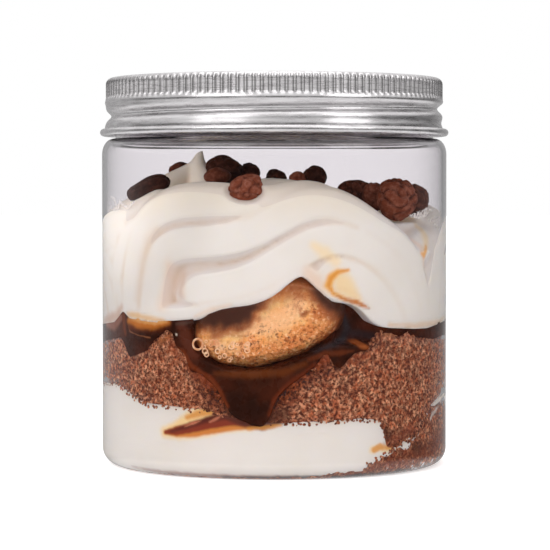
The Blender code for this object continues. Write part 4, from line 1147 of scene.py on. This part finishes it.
# --- Chocolate nuggets -------------------------------------------------------------------------
# Crunchy nuggets of coffee-brown chocolate dropped on the cream: wrinkled, lumpy and a little
# sunk in it. Some are nearly black and smooth, others are red-brown and dusty.
NUGGETS = (  # (width, depth, height in mm, tilt, turn in degrees, dust, creases, middle's height in mm)
    (9.4, 5.2, 4.2, 24, 10, 0.05, 0.6, 57.6), (4.8, 4.6, 4.2, 0, 40, 0.3, 0.5, 61.0),
    (8.0, 5.8, 6.0, -12, 0, 0.1, 0.6, 61.4), (5.5, 4.6, 3.4, 0, 10, 0.45, 0.1, 60.0),
    (4.4, 4.4, 4.0, 0, 60, 0.12, 0.6, 60.9), (7.0, 5.2, 5.6, 14, 5, 1.0, 0.8, 57.4),
    (4.4, 4.6, 3.6, 0, 30, 0.12, 0.5, 59.8), (3.5, 3.2, 3.4, 0, 0, 0.9, 0.5, 59.3),
    (5.2, 4.8, 4.6, -8, 15, 0.1, 0.6, 59.8), (7.4, 5.2, 4.8, -10, 5, 0.3, 0.8, 56.9),
    (5.4, 5.0, 6.2, 0, 0, 0.6, 0.6, 55.9), (8.2, 6.4, 8.6, 0, 10, 0.75, 1.0, 55.2),
    (5.6, 5.6, 6.6, 0, 20, 0.3, 0.5, 55.1), (6.0, 5.4, 4.0, 0, 15, 0.4, 0.6, 0.0),
    (6.4, 5.2, 4.0, 0, 50, 0.3, 0.6, 0.0), (5.6, 5.2, 4.0, 0, 80, 0.5, 0.6, 0.0))
SUNK = 0.3  # those with no height of their own lie on the cream, sunk in it by this share
landing = BVHTree.FromPolygons([v.co for v in swirl.data.vertices],
                               [p.vertices for p in swirl.data.polygons])

chocolate, shader, place = new_material("chocolate", Specular_IOR_Level=0.08, Coat_Weight=0.03,
                                        Coat_Roughness=0.35)
dust = painted(place, "dust")
bloom = place.noise(900.0, 4.0, 0.65).step(0.42, 0.66)
brown = colour_mix(dust, screen(42, 21, 14), screen(128, 66, 44))
# Painted shade: the creases are darker.
brown = colour_mix(painted(place, "crease") * 0.8, brown, screen(30, 12, 8))
brown = colour_mix(bloom * (dust * 0.6 + 0.06), brown, screen(164, 106, 86))
feed(shader, "Base Color", brown)
feed(shader, "Roughness", 0.42 + dust * 0.22)
feed(shader, "Normal", bump(bloom + place.noise(2200.0, 2.0) * 0.5, 0.08 * MM, 0.6))

for number, (width, depth, tall, tilt, turned, dusty, creased, level) in enumerate(NUGGETS, start=1):
    node = f"chocolate_nugget_{number:02d}"
    node_low, node_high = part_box(node)
    bpy.ops.object.select_all(action="DESELECT")
    bpy.ops.mesh.primitive_ico_sphere_add(subdivisions=5, radius=1.0)
    nugget = bpy.context.object
    nugget.name = f"nugget_{number:02d}"
    ball = points_of(nugget)
    crease = np.exp(-((grain(ball, 0.6, 2.7 * number) / 0.1) ** 2)) * creased
    lumpy = 0.13 * grain(ball, 0.9, 1.3 * number)
    fine = 0.06 * grain(ball, 0.42, 5.1 * number)
    swell = 1.0 + lumpy - 0.13 * crease + fine
    pose = Euler((0.0, -math.radians(tilt), math.radians(turned))).to_matrix()
    ball = ball * swell[:, None] * (np.array([width, depth, tall]) * MM / 2)
    ball = ball @ np.array(pose).T
    middle = (node_low + node_high) / 2
    hit = landing.ray_cast(Vector((middle.x, middle.y, 0.09)), Vector((0.0, 0.0, -1.0)))[0]
    level = level * MM if level else hit.z + (0.5 - SUNK) * tall * MM
    ball += np.array([middle.x, middle.y, level])
    hold_inside(ball, INSIDE - 0.05 * MM)
    move_points(nugget, ball)
    paint_points(nugget, "dust", np.full(len(ball), dusty))
    # The crease share, read by the material as painted shade in the creases.
    paint_points(nugget, "crease", crease)
    bpy.ops.object.shade_smooth()
    nugget.data.materials.append(chocolate)
    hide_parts(node)
    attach(nugget, "root")


# --- Crumbs ------------------------------------------------------------------------------------
# Loose sponge crumbs along the edges of the sponge, pressed on the wall. Each is a lumpy ball.
CRUMBS = (  # (line, angles from and to, lowest and highest above it in mm, how many, sizes in mm)
    (sponge_line, -86, -40, -0.3, 0.5, 60, 0.2, 0.5), (sponge_line, -39, -29, -0.6, 0.5, 26, 0.3, 0.7),
    (sponge_line, 12, 33, -0.4, 0.6, 34, 0.2, 0.6), (sponge_line, 33, 86, -0.3, 0.8, 80, 0.2, 0.55),
    (base_line, -86, -16, -0.5, 0.3, 90, 0.2, 0.5), (base_line, -2, 38, -0.5, 0.3, 50, 0.2, 0.5),
    (base_line, 36, 62, -0.8, 1.0, 60, 0.25, 0.6), (offcut_line, 30, 62, -0.6, 0.8, 60, 0.25, 0.6))


def join_all(objects):
    """Joins the objects, with their places and turns applied, and gives the one that is left."""
    for obj in objects:
        obj.select_set(True)
    bpy.ops.object.join()
    bpy.ops.object.transform_apply(location=True, rotation=True, scale=True)
    return bpy.context.object


chance = random.Random(11)
bpy.ops.object.select_all(action="DESELECT")
crumbs = []
for line, turn_from, turn_to, lowest, highest, count, small, large in CRUMBS:
    for index in range(count):
        turned = chance.uniform(turn_from, turn_to)
        radius = chance.uniform(small, large) * MM
        height = float(line(turned)) + chance.uniform(lowest, highest) * MM
        spot = at(turned, wall_reach(height) - 0.75 * radius, height)
        bpy.ops.mesh.primitive_ico_sphere_add(subdivisions=2, radius=radius, location=spot)
        crumbs.append(bpy.context.object)
crumbs = join_all(crumbs)
crumbs.name = "sponge_crumbs"
shape = points_of(crumbs)
shape += np.stack([grain(shape, 0.5 * MM, seed) for seed in (2.0, 4.0, 6.0)], axis=-1) * 0.16 * MM
hold_inside(shape, wall_reach(shape[:, 2]) + 0.08 * MM)
move_points(crumbs, shape)
paint_points(crumbs, "wet", np.clip(0.35 + 0.5 * grain(shape, 4 * MM), 0, 1))
stain(crumbs, ())
crumbs.data.materials.append(cocoa)
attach(crumbs, "root")


# --- Foam --------------------------------------------------------------------------------------
# Small bubbles of coffee foam between the ladyfinger's lower left and the wall: rings with a thin
# skin of syrup and cream, and one large one at the end.
chance = random.Random(5)
SMALL_BUBBLES = 22
bubbles = [(-25.1, 26.7, 1.05)]  # (angle, height and radius in mm)
for bubble in range(SMALL_BUBBLES):
    bubbles.append((chance.uniform(-23, -8), chance.uniform(23.6, 27.4), chance.uniform(0.25, 0.55)))
bpy.ops.object.select_all(action="DESELECT")
foam = []
for turned, height, size in bubbles:
    spot = at(turned, INSIDE + SINK, height * MM)
    bpy.ops.mesh.primitive_torus_add(major_segments=32, minor_segments=10, major_radius=size * MM,
                                     minor_radius=(0.08 + 0.14 * size) * MM, location=spot,
                                     rotation=(math.pi / 2, 0.0, math.radians(turned)))
    foam.append(bpy.context.object)
foam = join_all(foam)
foam.name = "syrup_foam"
shape = points_of(foam)
hold_inside(shape, INSIDE + SINK + 0.1 * MM)
move_points(foam, shape)
bpy.ops.object.shade_smooth()
material, shader, place = new_material("coffee_foam", roughness=0.35)
froth = place.noise(700.0).step(0.35, 0.65)
feed(shader, "Base Color", colour_mix(froth, screen(226, 150, 96), screen(255, 214, 172)))
foam.data.materials.append(material)
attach(foam, "root")


# --- Smears ------------------------------------------------------------------------------------
# Thin films of cream left on the inside of the wall above the swirl, with a row of bubbles at the
# right, and two pale upright streaks near the sides that are painted reflection. One sheet just inside the
# wall, which is clear where it carries nothing.
SMEARS = (  # (cover, softness in mm, how patchy, path of (angle, height, half width))
    (0.75, 0.5, 0.3, ((-71.5, 55.9, 0.15), (-66, 55.2, 0.3), (-63.5, 53.2, 0.4), (-61.5, 54.9, 0.3),
                      (-59, 54.0, 0.3), (-55.5, 53.6, 0.3), (-52, 54.9, 0.1))),
    (0.5, 2.4, 0.5, ((-84, 55.0, 0.8), (-76, 53.6, 1.2), (-68, 52.2, 1.6), (-60, 51.0, 1.0))),
    # Painted reflection: a pale upright streak near the left edge, laid as film.
    (0.45, 2.0, 0.6, ((-80, 56, 0.2), (-79, 48, 1.0), (-80, 38, 0.8))),
    (0.95, 0.2, 0.9, ((50, 51.9, 0.3), (54, 52.0, 0.8), (60, 52.6, 0.9), (66, 53.2, 0.3))),
    (0.5, 1.6, 0.5, ((62, 51.0, 0.4), (70, 50.4, 1.2), (80, 51.5, 1.4), (88, 53.0, 0.6))),
    # Painted reflection: a pale upright streak near the right edge, laid as film.
    (0.4, 2.0, 0.6, ((78, 50, 0.6), (80, 42, 1.2), (79, 32, 0.8))),
)
FILM_TURN, FILM_MIDDLE, FILM_RISE = 95.0, 44, 14  # half the film's width in degrees, and its heights in mm
bpy.ops.object.select_all(action="DESELECT")
bpy.ops.mesh.primitive_grid_add(x_subdivisions=760, y_subdivisions=96, size=2.0)
smears = bpy.context.object
smears.name = "cream_smears"
across, up, _ = points_of(smears).T
turn, height = FILM_TURN * across, (FILM_MIDDLE + FILM_RISE * up) * MM
film = at(turn, INSIDE - 0.05 * MM, height)
move_points(smears, film)
patch = 0.5 + 0.5 * grain(film, 0.5 * MM, 50.0)
cover = np.zeros(len(film))
for most, soft, patchy, path in SMEARS:
    near = smear_distance(turn, height, path) + 0.3 * MM * grain(film, 1.6 * MM, 60.0)
    share = most * (1 - smooth_step(near, -soft / 2 * MM, soft / 2 * MM))
    cover = np.maximum(cover, share * (1 - patchy + patchy * smooth_step(patch, 0.4, 0.6)))
paint_points(smears, "cover", cover)
select_where(smears, "VERT", lambda place, v: cover[v.index] < 0.01)
bpy.ops.mesh.delete(type="VERT")
bpy.ops.object.mode_set(mode="OBJECT")
bpy.ops.object.shade_smooth()
material, shader, place = new_material("cream_film", roughness=0.3,
                                       Base_Color=(*screen(240, 234, 226), 1.0))
feed(shader, "Alpha", painted(place, "cover"))
smears.data.materials.append(material)
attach(smears, "root")
